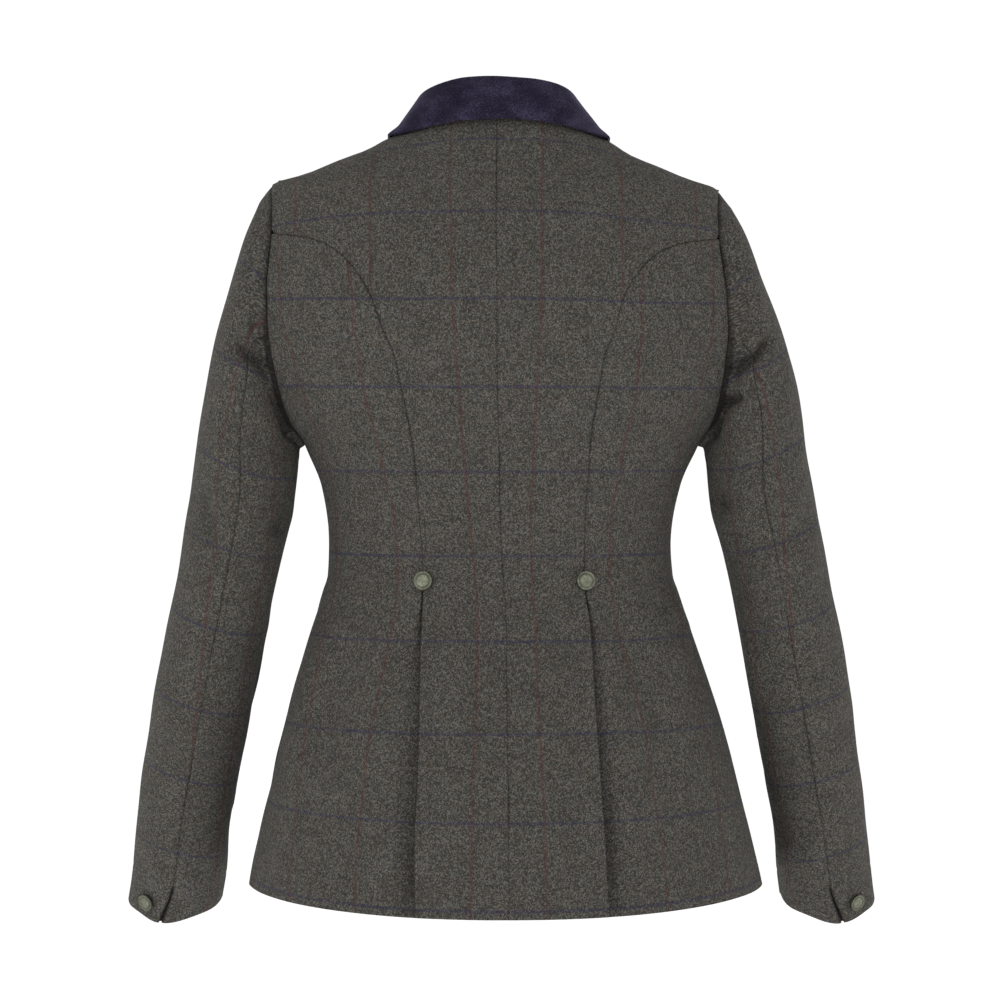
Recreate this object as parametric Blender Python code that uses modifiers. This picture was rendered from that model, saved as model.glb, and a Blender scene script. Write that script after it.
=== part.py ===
"""A fitted riding show jacket, filled out as if it were worn and held up at its shoulders.

Run with: blender --background --python part.py. Sizes are in metres and +Z is up. The wearer faces -Y
and the wearer's left arm is at +X. The origin is on the neck's centre line, level with the tops of the
shoulder seams. Each piece is one closed wall of cloth, and pieces lie SEAM apart where they are sewn.
"""

import math

import bpy
import numpy as np
from mathutils import Vector

# Driving sizes
CLOTH = 0.002  # thickness of the cloth with its interlining
SEAM = 0.0003  # gap that stands for a sewn seam
ARMHOLE_GAP = 0.0005
HEM_HEIGHT = -0.645
BUTTON_HEIGHT = -0.376  # the two back waist buttons, where the vents begin
VENT_START = -0.390
UNDERLAP = 0.035  # cloth of each side back that lies under the centre back
LAP_DROP = 0.0032  # how far a piece lies below the one that laps over it
VENT_DROP_AT_HEM = 0.010
FRONT_LAP = 0.020  # each front passes the centre by this much
LAPEL_LIFT = 0.0028
SHOULDER_HEIGHT = -0.047  # tip of the shoulder seam, top of the armhole
NECK_HEIGHT = 0.006
BACK_ROUNDNESS = 2.2  # exponents of the rings that make the body
FRONT_ROUNDNESS = 2.3

# Armhole, an oval seen from the side
ARMHOLE_CENTRE = -0.1575
ARMHOLE_HALF_HEIGHT = 0.1105
ARMHOLE_HALF_DEPTH = {"back": 0.056, "front": 0.050}

# Heights that the body panels share, from the hem to the neck
HEIGHTS = (
    HEM_HEIGHT, -0.634, -0.615, -0.580, -0.540, -0.500, -0.460, -0.425, -0.400, VENT_START, -0.383,
    BUTTON_HEIGHT, -0.352, -0.330, -0.305, -0.285, -0.268, -0.2625, -0.250, -0.229, -0.2014, -0.175,
    -0.160, -0.146, -0.131, -0.1137, -0.1019, -0.0947, -0.0906, -0.080, -0.068, -0.056, -0.0495,
    SHOULDER_HEIGHT, -0.038, -0.028, -0.018, -0.010, -0.002, NECK_HEIGHT,
)
ARMHOLE_HEIGHTS = tuple(h for h in HEIGHTS if -0.268 <= h <= SHOULDER_HEIGHT)

# Height, half width of the body over the back
BACK_HALF_WIDTH = (
    (-0.645, 0.2170), (-0.620, 0.2120), (-0.569, 0.2010), (-0.518, 0.1895), (-0.467, 0.1750),
    (-0.416, 0.1585), (-0.3905, 0.1505), (-0.378, 0.1466), (-0.352, 0.1450), (-0.327, 0.1470),
    (-0.301, 0.1520), (-0.276, 0.1630), (-0.264, 0.1690), (-0.250, 0.1824), (-0.229, 0.1968),
    (-0.2014, 0.2092), (-0.1814, 0.2143), (-0.165, 0.2165), (-0.1413, 0.2160), (-0.112, 0.2105),
    (-0.0854, 0.2022), (-0.070, 0.1975), (-0.058, 0.1935), (-0.047, 0.1887), (-0.0386, 0.1636),
    (-0.0284, 0.1386), (-0.0182, 0.1126), (-0.010, 0.0985), (-0.003, 0.0860), (0.006, 0.0750),
)

# Height, half width over the front, which is narrower beside the armhole
FRONT_HALF_WIDTH = (
    (-0.645, 0.2170), (-0.620, 0.2120), (-0.569, 0.2010), (-0.518, 0.1895), (-0.467, 0.1750),
    (-0.416, 0.1585), (-0.3905, 0.1505), (-0.378, 0.1466), (-0.352, 0.1450), (-0.327, 0.1470),
    (-0.301, 0.1520), (-0.276, 0.1630), (-0.264, 0.1690), (-0.250, 0.1780), (-0.229, 0.1860),
    (-0.2014, 0.1910), (-0.1814, 0.1920), (-0.1413, 0.1910), (-0.112, 0.1900), (-0.070, 0.1900),
    (-0.047, 0.1887), (-0.0386, 0.1636), (-0.0284, 0.1386), (-0.0182, 0.1126), (-0.010, 0.0985),
    (-0.003, 0.0860), (0.006, 0.0750),
)

# Height, depth behind the arms' plane
BACK_DEPTH = (
    (-0.645, 0.155), (-0.569, 0.142), (-0.518, 0.130), (-0.467, 0.115), (-0.416, 0.097), (-0.376, 0.086),
    (-0.352, 0.084), (-0.300, 0.090), (-0.250, 0.099), (-0.200, 0.106), (-0.160, 0.109), (-0.120, 0.106),
    (-0.080, 0.097), (-0.047, 0.082), (-0.020, 0.066), (0.006, 0.052),
)

# Height, depth in front of the arms' plane
FRONT_DEPTH = (
    (-0.645, 0.160), (-0.518, 0.145), (-0.416, 0.125), (-0.352, 0.118), (-0.276, 0.130), (-0.240, 0.138),
    (-0.200, 0.140), (-0.150, 0.125), (-0.100, 0.105), (-0.047, 0.075), (0.006, 0.045),
)

# Height, sideways place of the centre back seam, which leans a little
CENTRE_SEAM = ((-0.645, -0.0076), (-0.430, -0.0058), (-0.310, 0.0), (-0.150, 0.002), (0.006, 0.003))

# Height, distance of the left and of the right princess seam and vent edge from the middle
PRINCESS_SEAM = {
    1: (
        (-0.645, 0.0676), (-0.5945, 0.0684), (-0.548, 0.0669), (-0.500, 0.0655), (-0.455, 0.0651),
        (-0.416, 0.0641), (-0.376, 0.0630), (-0.330, 0.0660), (-0.2875, 0.0706), (-0.2667, 0.0733),
        (-0.240, 0.0775), (-0.2127, 0.0823), (-0.190, 0.0871), (-0.172, 0.0944), (-0.146, 0.1027),
        (-0.131, 0.1100), (-0.1137, 0.1230), (-0.1019, 0.1380), (-0.0947, 0.1580), (-0.0906, 0.1850),
    ),
    -1: (
        (-0.645, 0.0882), (-0.5945, 0.0856), (-0.548, 0.0826), (-0.500, 0.0797), (-0.455, 0.0770),
        (-0.416, 0.0747), (-0.376, 0.0700), (-0.330, 0.0705), (-0.2875, 0.0722), (-0.2667, 0.0733),
        (-0.240, 0.0775), (-0.2127, 0.0823), (-0.190, 0.0871), (-0.172, 0.0944), (-0.146, 0.1027),
        (-0.131, 0.1100), (-0.1137, 0.1230), (-0.1019, 0.1380), (-0.0947, 0.1580), (-0.0906, 0.1850),
    ),
}
PRINCESS_TOP = -0.0906

# Height, distance of a front's own edge from the middle: hem, round corner, lap, then the lapel's fold
FRONT_EDGE = (
    (-0.645, 0.098), (-0.634, 0.070), (-0.615, 0.047), (-0.600, 0.034), (-0.560, 0.008), (-0.500, -0.012),
    (-0.420, -FRONT_LAP), (-0.225, -FRONT_LAP), (-0.210, -0.016), (-0.190, 0.0035), (-0.150, 0.0215),
    (-0.100, 0.0400), (-0.075, 0.0490), (-0.047, 0.0580), (-0.020, 0.0665), (-0.010, 0.0700),
    (0.006, 0.0725),
)

# Lapel: height of its fold, then height and distance from the middle of its outer edge
LAPEL = (
    (-0.186, -0.188, 0.014), (-0.176, -0.179, 0.032), (-0.160, -0.163, 0.049), (-0.135, -0.139, 0.068),
    (-0.110, -0.115, 0.083), (-0.090, -0.096, 0.0935), (-0.070, -0.080, 0.102), (-0.055, -0.071, 0.107),
    (-0.0425, -0.0650, 0.1090),
)

# Collar: angle round the neck in degrees and height of its seam, stand height, inward lean, how far the
# stand follows the body, then distance from the middle, height and lift of its outer edge and its fullness
COLLAR = (
    (0.0, 0.006, 0.0285, 0.05, 0.0, 0.000, -0.0050, 0.0085, 0.0035),
    (18.0, 0.006, 0.0283, 0.07, 0.0, 0.028, -0.0055, 0.0078, 0.0034),
    (36.0, 0.006, 0.0270, 0.10, 0.0, 0.053, -0.0070, 0.0062, 0.0028),
    (54.0, 0.006, 0.0252, 0.20, 0.0, 0.0740, -0.0085, 0.0048, 0.0016),
    (72.0, 0.006, 0.0225, 0.34, 0.05, 0.0885, -0.0092, 0.0050, 0.0006),
    (90.0, 0.006, 0.0200, 0.42, 0.1, 0.0935, -0.0092, 0.0062, 0.0004),
    (None, 0.006, 0.0172, 0.42, 0.3, 0.0945, -0.0158, 0.0066, 0.0008),
    (None, -0.010, 0.0135, 0.20, 0.7, 0.0960, -0.0270, 0.0050, 0.0006),
    (None, -0.025, 0.0105, 0.00, 1.0, 0.0955, -0.0400, 0.0040, 0.0010),
    (None, -0.0395, 0.0085, 0.00, 1.0, 0.0915, -0.0525, 0.0034, 0.0010),
)
COLLAR_CLEARANCE = 0.0007  # more than a seam, since the two edges' straight stretches differ
# Fold of the collar across its roll: distance outwards and down from the stand's top
COLLAR_ROLL = ((-0.0025, 0.0030), (-0.0014, 0.0008), (0.0006, 0.0), (0.0026, 0.0010), (0.0037, 0.0034))

# Sleeve rings: outer edge sideways and height, inner edge sideways and height, half depth, depth of the
# ring's centre, and the angle by which its back drops below its front
SLEEVE = (
    (0.1995, -0.0620, 0.1712, -0.2694, 0.0580, 0.000, 0.0),
    (0.2095, -0.0830, 0.1717, -0.2702, 0.0600, 0.000, 0.0),
    (0.2215, -0.1170, 0.1720, -0.2712, 0.0620, 0.000, 0.0),
    (0.2325, -0.1520, 0.1723, -0.2724, 0.0640, 0.000, 0.0),
    (0.2415, -0.1850, 0.1726, -0.2740, 0.0650, 0.000, 0.0),
    (0.2490, -0.2170, 0.1728, -0.2765, 0.0655, 0.000, 1.0),
    (0.2550, -0.2480, 0.1735, -0.2815, 0.0655, 0.001, 2.0),
    (0.2600, -0.2810, 0.1745, -0.2920, 0.0645, 0.002, 3.0),
    (0.2640, -0.3070, 0.1775, -0.3210, 0.0620, 0.003, 5.0),
    (0.2708, -0.3450, 0.1866, -0.3590, 0.0580, 0.004, 6.5),
    (0.2783, -0.3835, 0.1954, -0.3975, 0.0545, 0.003, 8.0),
    (0.2859, -0.4220, 0.2034, -0.4360, 0.0520, -0.001, 10.0),
    (0.2934, -0.4605, 0.2102, -0.4750, 0.0500, -0.007, 12.5),
    (0.3007, -0.5000, 0.2182, -0.5140, 0.0480, -0.016, 15.0),
    (0.3071, -0.5400, 0.2268, -0.5540, 0.0460, -0.028, 17.5),
    (0.3135, -0.5810, 0.2347, -0.5950, 0.0445, -0.042, 19.5),
    (0.3199, -0.6235, 0.2391, -0.6330, 0.0430, -0.058, 21.5),
    (0.3262, -0.6620, 0.2431, -0.6600, 0.0420, -0.074, 23.0),
)
# Ring number, how far the ring bows outwards at its front and back, to clear the body beside the armhole
SLEEVE_BOW = ((0, 0.018), (1, 0.0185), (2, 0.017), (4, 0.010), (6, 0.006), (9, 0.0), (18, 0.0))
SLEEVE_ROWS = (0, 1, 2, 3, 4, 5, 6, 7, 8, 10, 12, 14, 16, 16.9, 17.6, 18)
BACK_SEAM_HEIGHT = -0.175  # where the sleeve's two seams reach the armhole
FRONT_SEAM_HEIGHT = -0.2014
# Ring number, angle of the back seam and of the front seam round the sleeve in degrees
BACK_SEAM_ANGLE = ((0, 99.1), (4, 94.0), (8, 92.0), (12, 93.0), (15, 91.0), (17, 88.0), (18, 77.0))
FRONT_SEAM_ANGLE = ((0, -113.4), (8, -115.0), (18, -115.0))
SLIT_START = 16.9  # ring number
SLIT_HALF_WIDTH = 0.0015

# Buttons: radius and height out of the cloth of one half of the turned profile
BUTTON_RADIUS = {"back": 0.0079, "cuff": 0.0074, "front": 0.0095}
BUTTON_PROFILE = (
    (0.0, 0.0036), (0.42, 0.0034), (0.72, 0.0028), (0.88, 0.0036), (1.0, 0.0028), (0.96, 0.0016),
    (0.40, 0.0012), (0.38, 0.0), (0.0, 0.0),
)
BUTTON_SIDES = 14
FRONT_BUTTON_HEIGHTS = (-0.228, -0.302, BUTTON_HEIGHT)
CUFF_BUTTON_RING = 17.6
CUFF_BUTTON_ANGLE = 57.0

TWEED = ((0.067, 0.063, 0.058), 0.95, 0.0)
VELVET = ((0.024, 0.019, 0.042), 0.85, 0.0)
PEWTER = ((0.27, 0.28, 0.20), 0.42, 0.9)


def curve(table, at):
    """The smooth curve through a table's points, which turns only where the table does."""
    xs = [row[0] for row in table]
    ys = [row[1] for row in table]
    slopes = [(ys[i + 1] - ys[i]) / (xs[i + 1] - xs[i]) for i in range(len(xs) - 1)]
    i = min(max(sum(x <= at for x in xs) - 1, 0), len(slopes) - 1)

    def slope_at(k):
        if k in (0, len(slopes)):
            return slopes[min(k, len(slopes) - 1)]
        before, after = slopes[k - 1], slopes[k]
        if before * after <= 0:
            return 0.0
        return 2 * before * after / (before + after)

    if at <= xs[0]:
        return ys[0] + (at - xs[0]) * slope_at(0)
    if at >= xs[-1]:
        return ys[-1] + (at - xs[-1]) * slope_at(len(slopes))
    width = xs[i + 1] - xs[i]
    t = (at - xs[i]) / width
    start = ys[i] * (1 + 2 * t) + slope_at(i) * width * t
    end = ys[i + 1] * (3 - 2 * t) - slope_at(i + 1) * width * (1 - t)
    return start * (1 - t) ** 2 + end * t ** 2


def ease(t):
    t = min(max(t, 0.0), 1.0)
    return t * t * (3 - 2 * t)


def unit(vector):
    return vector / np.linalg.norm(vector)


def body_point(angle, height, lift=0.0):
    """A point of the body: angle 0 is the centre back, +90 degrees the wearer's left, 180 the front."""
    s, c = math.sin(angle), math.cos(angle)
    if c >= 0:
        half_width, depth = curve(BACK_HALF_WIDTH, height), curve(BACK_DEPTH, height)
        roundness = BACK_ROUNDNESS
    else:
        half_width, depth = curve(FRONT_HALF_WIDTH, height), -curve(FRONT_DEPTH, height)
        roundness = FRONT_ROUNDNESS
    x = math.copysign(half_width * abs(s) ** (2 / roundness), s)
    y = depth * abs(c) ** (2 / roundness)
    nape_rise = 0.006 * ease((height + 0.060) / 0.066) * max(c, 0.0) ** 2
    low = ease((-0.500 - height) / 0.145)
    hem_rise = low * (0.008 * s * s - 0.004 * max(-c, 0.0) ** 2)
    point = np.array((x, y, height + nape_rise + hem_rise))
    if not lift:
        return point
    return point + lift * body_normal(angle, height)


def body_normal(angle, height, lift_at=None):
    """The outward normal, of the lifted surface where lift_at gives a lift at each angle and height."""
    step, rise = 1e-4, 1e-5

    def at(a, h):
        if lift_at is None:
            return body_point(a, h)
        return body_point(a, h, lift_at(a, h))

    along = at(angle + step, height) - at(angle - step, height)
    up = at(angle, height + rise) - at(angle, height - rise)
    return unit(np.cross(up, along))


def angle_of(x, height, front=False):
    """The angle of the body's point this far from the middle."""
    table = FRONT_HALF_WIDTH if front else BACK_HALF_WIDTH
    roundness = FRONT_ROUNDNESS if front else BACK_ROUNDNESS
    share = min(abs(x) / curve(table, height), 1.0)
    angle = math.copysign(math.asin(share ** (roundness / 2)), x)
    return math.pi - angle if front else angle


def armhole_angle(height, side):
    """The angle of the armhole's back or front edge at this height, and of the side seam elsewhere."""
    k = (height - ARMHOLE_CENTRE) / ARMHOLE_HALF_HEIGHT
    if abs(k) >= 1 - 1e-9:
        return math.pi / 2
    y = ARMHOLE_HALF_DEPTH[side] * math.sqrt(1 - k * k)
    depth, roundness = (BACK_DEPTH, BACK_ROUNDNESS) if side == "back" else (FRONT_DEPTH, FRONT_ROUNDNESS)
    turn = math.acos(min((y / curve(depth, height)) ** (roundness / 2), 1.0))
    return turn if side == "back" else math.pi - turn


def seam_gap(edge, height):
    """Half a seam's gap as an angle, widened where the seam runs across the cloth."""
    step = 1e-4
    angle = edge(height)
    speed = np.linalg.norm(body_point(angle + step, height) - body_point(angle - step, height)) / (2 * step)
    slope = speed * (edge(height + step) - edge(height - step)) / (2 * step)
    return 0.5 * SEAM * min(math.hypot(1.0, slope), 7.0) / speed


def add_object(name, mesh, finish):
    colour, roughness, metallic = finish
    material = bpy.data.materials.new(name + "_finish")
    material.use_nodes = True
    shader = material.node_tree.nodes["Principled BSDF"]
    shader.inputs["Base Color"].default_value = (*colour, 1.0)
    shader.inputs["Roughness"].default_value = roughness
    shader.inputs["Metallic"].default_value = metallic
    mesh.materials.append(material)
    piece = bpy.data.objects.new(name, mesh)
    jacket.objects.link(piece)
    return piece


def wall(name, outer, inner, finish):
    """One closed wall of cloth between an outer and an inner grid of points."""
    outer, inner = np.array(outer), np.array(inner)
    rows, columns = outer.shape[:2]
    count = rows * columns

    def at(row, column, layer=0):
        return layer * count + row * columns + column

    faces = []
    for r in range(rows - 1):
        for c in range(columns - 1):
            faces.append((at(r, c), at(r, c + 1), at(r + 1, c + 1), at(r + 1, c)))
            faces.append((at(r, c, 1), at(r + 1, c, 1), at(r + 1, c + 1, 1), at(r, c + 1, 1)))
    for c in range(columns - 1):
        faces.append((at(0, c), at(0, c, 1), at(0, c + 1, 1), at(0, c + 1)))
        last = rows - 1
        faces.append((at(last, c), at(last, c + 1), at(last, c + 1, 1), at(last, c, 1)))
    for r in range(rows - 1):
        faces.append((at(r, 0), at(r + 1, 0), at(r + 1, 0, 1), at(r, 0, 1)))
        last = columns - 1
        faces.append((at(r, last), at(r, last, 1), at(r + 1, last, 1), at(r + 1, last)))
    across = outer[:-1, 1:] - outer[:-1, :-1]
    along = outer[1:, :-1] - outer[:-1, :-1]
    if (np.cross(across, along) * (outer - inner)[:-1, :-1]).sum() < 0:
        faces = [face[::-1] for face in faces]
    points = np.concatenate((outer.reshape(-1, 3), inner.reshape(-1, 3)))
    mesh = bpy.data.meshes.new(name)
    mesh.from_pydata(points.tolist(), [], faces)
    mesh.update()
    mesh.shade_smooth()
    mesh.set_sharp_from_angle(angle=math.radians(40))
    return add_object(name, mesh, finish)


def body_panel(name, side, heights, first_edge, last_edge, columns, lift_at=None):
    """A panel of the body between two edges, given as angles on the wearer's left side."""
    outer, inner = [], []
    for height in heights:
        first, last = first_edge(height), last_edge(height)
        row, back_row = [], []
        for k in range(columns + 1):
            angle = first + (last - first) * k / columns
            lift = lift_at(angle, height) if lift_at else 0.0
            point = body_point(angle, height, lift)
            under = point - CLOTH * body_normal(angle, height, lift_at)
            row.append(point * (side, 1, 1))
            back_row.append(under * (side, 1, 1))
        outer.append(row)
        inner.append(back_row)
    return wall(name, outer, inner, TWEED)


def shoulder_or_armhole(height, side):
    """The outer edge of a back or a front panel: side seam, armhole, then shoulder seam."""
    edge = armhole_angle(height, side)
    if edge != math.pi / 2:
        return edge
    gap = seam_gap(lambda h: math.pi / 2, height)
    return edge - gap if side == "back" else edge + gap


def make_centre_back(side, word):
    def middle(height):
        return angle_of(side * curve(CENTRE_SEAM, height), height)

    def princess(height):
        return angle_of(curve(PRINCESS_SEAM[side], height), height)

    def outer_edge(height):
        if height > PRINCESS_TOP:
            return shoulder_or_armhole(height, "back")
        return princess(height) - seam_gap(princess, height)

    def inner_edge(height):
        return middle(height) + seam_gap(middle, height)

    body_panel("centre_back_" + word, side, HEIGHTS, inner_edge, outer_edge, 5)


def make_side_back(side, word):
    def princess(height):
        return angle_of(curve(PRINCESS_SEAM[side], height), height)

    def inner_edge(height):
        if height > VENT_START:
            return princess(height) + seam_gap(princess, height)
        return angle_of(curve(PRINCESS_SEAM[side], height) - UNDERLAP, height)

    def lift_at(angle, height):
        """Below the button the cloth sinks under the centre back."""
        start = ease((BUTTON_HEIGHT - height) / 0.007)
        lower = ease((VENT_START - height) / (VENT_START - HEM_HEIGHT))
        drop = start * (LAP_DROP + lower * (VENT_DROP_AT_HEM - LAP_DROP))
        beyond = body_point(angle, height)[0] - curve(PRINCESS_SEAM[side], height)
        return -drop * (1 - ease((beyond - 0.001) / (0.014 + 0.016 * lower)))

    heights = [h for h in HEIGHTS if h <= PRINCESS_TOP]
    body_panel(
        "side_back_" + word, side, heights, inner_edge,
        lambda h: shoulder_or_armhole(h, "back"), 8, lift_at,
    )


def make_front(side, word):
    def edge(height):
        return angle_of(curve(FRONT_EDGE, height), height, front=True)

    def lift_at(angle, height):
        """The left front lies under the right one past the centre."""
        if side < 0:
            return 0.0
        x = body_point(angle, height)[0]
        return -LAP_DROP * (1 - ease((x - FRONT_LAP - 0.002) / 0.014))

    body_panel(
        "front_" + word, side, HEIGHTS, lambda h: shoulder_or_armhole(h, "front"), edge, 9, lift_at,
    )


def make_lapel(side, word):
    columns = 6
    outer, inner = [], []
    for fold_height, edge_height, edge_x in LAPEL:
        row, back_row = [], []
        fold_x = curve(FRONT_EDGE, fold_height)
        for k in range(columns + 1):
            share = k / columns
            height = fold_height + (edge_height - fold_height) * share
            angle = angle_of(fold_x + (edge_x - fold_x) * share, height, front=True)
            point = body_point(angle, height, LAPEL_LIFT)
            row.append(point * (side, 1, 1))
            back_row.append((point - CLOTH * body_normal(angle, height)) * (side, 1, 1))
        outer.append(row)
        inner.append(back_row)
    wall("lapel_" + word, outer, inner, TWEED)


def collar_station(row, step):
    """The seam's point, outward and upward directions of one station of the collar's left half."""
    degrees, height, _, lean, follow = row[:5]

    def seam_point(shift):
        if degrees is None:
            h = height - shift
            return body_point(angle_of(curve(FRONT_EDGE, h), h, front=True), h)
        return body_point(math.radians(degrees) + shift * 12, height)

    along = unit(seam_point(step) - seam_point(-step))
    if degrees is None:
        angle = angle_of(curve(FRONT_EDGE, height), height, front=True)
    else:
        angle = math.radians(degrees)
    normal = body_normal(angle, height)
    flat = unit(normal * (1, 1, 0))
    up = unit((1 - follow) * (np.array((0, 0, 1.0)) - lean * flat) + follow * normal)
    up = unit(up - along * (up @ along))
    out = np.cross(up, along)
    if out @ flat < 0:
        out = -out
    return seam_point(0.0) + (up - out * follow) * COLLAR_CLEARANCE, out, up


def make_collar():
    """Stand, roll and fall as one folded wall, seamed to the neck's edge."""
    half = []
    for row in COLLAR:
        stand, (edge_x, edge_height, edge_lift, bulge) = row[2], row[5:]
        seam, out, up = collar_station(row, 1e-4)
        profile = [seam - out * CLOTH, seam - out * 0.0021 + up * stand * 0.35]
        profile += [seam + out * a + up * (stand - b) for a, b in COLLAR_ROLL]
        over_front = row[0] is None
        angle = angle_of(edge_x, edge_height, over_front)
        edge = body_point(angle, edge_height, edge_lift)
        normal = body_normal(angle, edge_height)
        start = profile[-1]
        for share in (0.25, 0.5, 0.75, 1.0):
            fullness = 4 * share * (1 - share) * bulge
            profile.append(start + (edge - start) * share + normal * fullness)
        half.append(np.array(profile))
    rows = [points * (-1, 1, 1) for points in half[:0:-1]] + half
    grid = np.array(rows)
    across = np.gradient(grid, axis=1)
    along = np.gradient(grid, axis=0)
    normals = np.cross(along, across)
    normals /= np.linalg.norm(normals, axis=2, keepdims=True)
    top = grid.shape[1] // 2
    middle = len(rows) // 2
    if normals[middle, top] @ np.array((0, 0.3, 1.0)) < 0:
        normals = -normals
    wall("collar", grid, grid - CLOTH * normals, VELVET)


def armhole_point(turn):
    """A point of the armhole's edge: turn 0 is the shoulder's tip, +90 degrees the back."""
    height = ARMHOLE_CENTRE + ARMHOLE_HALF_HEIGHT * math.cos(turn)
    side = "back" if math.sin(turn) >= 0 else "front"
    return body_point(armhole_angle(height, side), height) + (ARMHOLE_GAP, 0, 0)


def sleeve_ring_point(number, turn):
    """A point of a sleeve ring, numbered from 1 at the top of the sleeve to 18 at the cuff."""
    columns = [curve([(i + 1, row[k]) for i, row in enumerate(SLEEVE)], number) for k in range(7)]
    outer_x, outer_z, inner_x, inner_z, half_depth, centre_y, drop = columns
    centre = np.array(((outer_x + inner_x) / 2, centre_y, (outer_z + inner_z) / 2))
    across = np.array(((outer_x - inner_x) / 2, 0, (outer_z - inner_z) / 2))
    drop = math.radians(drop)
    back = np.array((0, math.cos(drop), -math.sin(drop))) * half_depth
    bow = np.array((curve(SLEEVE_BOW, number) * math.sin(turn) ** 2, 0, 0))
    return centre + across * math.cos(turn) + back * math.sin(turn) + bow


def sleeve_point(number, turn):
    if number >= 1:
        return sleeve_ring_point(number, turn)
    return armhole_point(turn) * (1 - number) + sleeve_ring_point(1, turn) * number


def sleeve_normal(number, turn):
    step = 1e-3
    around = sleeve_point(number, turn + step) - sleeve_point(number, turn - step)
    low = max(number - step, 0.0)
    down = sleeve_point(number + step, turn) - sleeve_point(low, turn)
    return unit(np.cross(down, around))


def sleeve_seam(number, which):
    """The angle of the back or front seam, with half the gap of the seam or of the cuff's slit."""
    table = BACK_SEAM_ANGLE if which == "back" else FRONT_SEAM_ANGLE
    turn = math.radians(curve(table, number))
    step = 1e-3
    speed = np.linalg.norm(sleeve_point(number, turn + step) - sleeve_point(number, turn - step)) / (2 * step)
    gap = 0.5 * SEAM
    if which == "back" and number > SLIT_START:
        gap += (SLIT_HALF_WIDTH - gap) * (number - SLIT_START) / (18 - SLIT_START)
    return turn, gap / speed


def turn_at(height, side):
    turn = math.acos(max(-1.0, min(1.0, (height - ARMHOLE_CENTRE) / ARMHOLE_HALF_HEIGHT)))
    return turn if side == "back" else -turn


def make_sleeve_piece(name, side, turns, first, last):
    """One of the two pieces of a sleeve. Its columns start at the armhole at the given angles."""
    outer, inner = [], []
    for number in SLEEVE_ROWS:
        begin, begin_gap = sleeve_seam(number, first)
        end, end_gap = sleeve_seam(number, last)
        if end < begin:
            end += 2 * math.pi
        begin, end = begin + begin_gap, end - end_gap
        row, back_row = [], []
        for turn in turns:
            share = (turn - turns[0]) / (turns[-1] - turns[0])
            at = begin + (end - begin) * share
            point = sleeve_point(number, at)
            if number == 0:
                inwards = -np.array((0, math.sin(at), math.cos(at)))
            else:
                inwards = -sleeve_normal(number, at)
            row.append(point * (side, 1, 1))
            back_row.append((point + CLOTH * inwards) * (side, 1, 1))
        outer.append(row)
        inner.append(back_row)
    wall(name, outer, inner, TWEED)


def make_sleeve(side, word):
    back = [turn_at(h, "back") for h in ARMHOLE_HEIGHTS]
    front = [turn_at(h, "front") for h in ARMHOLE_HEIGHTS]
    back_seam = turn_at(BACK_SEAM_HEIGHT, "back")
    front_seam = turn_at(FRONT_SEAM_HEIGHT, "front")
    every = sorted(set(np.round(back + front, 9)))
    top = [t for t in every if front_seam - 1e-6 <= t <= back_seam + 1e-6]
    lower = [t for t in every if t >= back_seam - 1e-6]
    lower += [t + 2 * math.pi for t in every if -math.pi + 1e-6 < t <= front_seam + 1e-6]
    make_sleeve_piece("top_sleeve_" + word, side, top, "front", "back")
    make_sleeve_piece("under_sleeve_" + word, side, lower, "back", "front")


def make_button(name, kind, point, normal):
    """A turned button with a raised rim, its back SEAM above the cloth."""
    mesh = bpy.data.meshes.new(name)
    radius = BUTTON_RADIUS[kind]
    profile = [(r * radius, 0.0, z) for r, z in BUTTON_PROFILE]
    mesh.from_pydata(profile, [(i, i + 1) for i in range(len(profile) - 1)], [])
    button = add_object(name, mesh, PEWTER)
    screw = button.modifiers.new("turned", "SCREW")
    screw.axis = "Z"
    screw.steps = BUTTON_SIDES
    screw.render_steps = BUTTON_SIDES
    screw.use_merge_vertices = True
    screw.merge_threshold = 0.00001
    screw.use_smooth_shade = True
    button.location = Vector(point + normal * SEAM)
    button.rotation_mode = "QUATERNION"
    button.rotation_quaternion = Vector(normal).to_track_quat("Z", "Y")


def make_buttons():
    mirror = np.array((-1, 1, 1))
    for side, word in ((1, "left"), (-1, "right")):
        angle = angle_of(curve(PRINCESS_SEAM[side], BUTTON_HEIGHT), BUTTON_HEIGHT)
        point, normal = body_point(angle, BUTTON_HEIGHT), body_normal(angle, BUTTON_HEIGHT)
        turn = math.radians(CUFF_BUTTON_ANGLE)
        cuff_point = sleeve_point(CUFF_BUTTON_RING, turn)
        cuff_normal = sleeve_normal(CUFF_BUTTON_RING, turn)
        if side < 0:
            point, normal = point * mirror, normal * mirror
            cuff_point, cuff_normal = cuff_point * mirror, cuff_normal * mirror
        make_button("back_button_" + word, "back", point, normal)
        make_button("cuff_button_" + word, "cuff", cuff_point, cuff_normal)
    for number, height in enumerate(FRONT_BUTTON_HEIGHTS, 1):
        point, normal = body_point(math.pi, height), body_normal(math.pi, height)
        make_button(f"front_button_{number}", "front", point, normal)


for old in list(bpy.data.objects):
    bpy.data.objects.remove(old)

jacket = bpy.data.collections.new("equestrian_show_jacket")
bpy.context.scene.collection.children.link(jacket)

for wearer_side, side_word in ((1, "left"), (-1, "right")):
    make_centre_back(wearer_side, side_word)
    make_side_back(wearer_side, side_word)
    make_front(wearer_side, side_word)
    make_lapel(wearer_side, side_word)
    make_sleeve(wearer_side, side_word)
make_collar()
make_buttons()
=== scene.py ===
# %% [markdown]
# A riding show jacket, seen from behind. The pattern pieces were planned first: two centre backs, two side
# backs, two fronts, two lapels, two-piece sleeves, a velvet collar and seven buttons. This lesson dresses
# them: each piece becomes a thin sheet of cloth with its own creases, and its check follows its own grain.

# %% Load the jacket's solids
import math

import bpy
import numpy as np
from mathutils import Matrix, Vector


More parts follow.
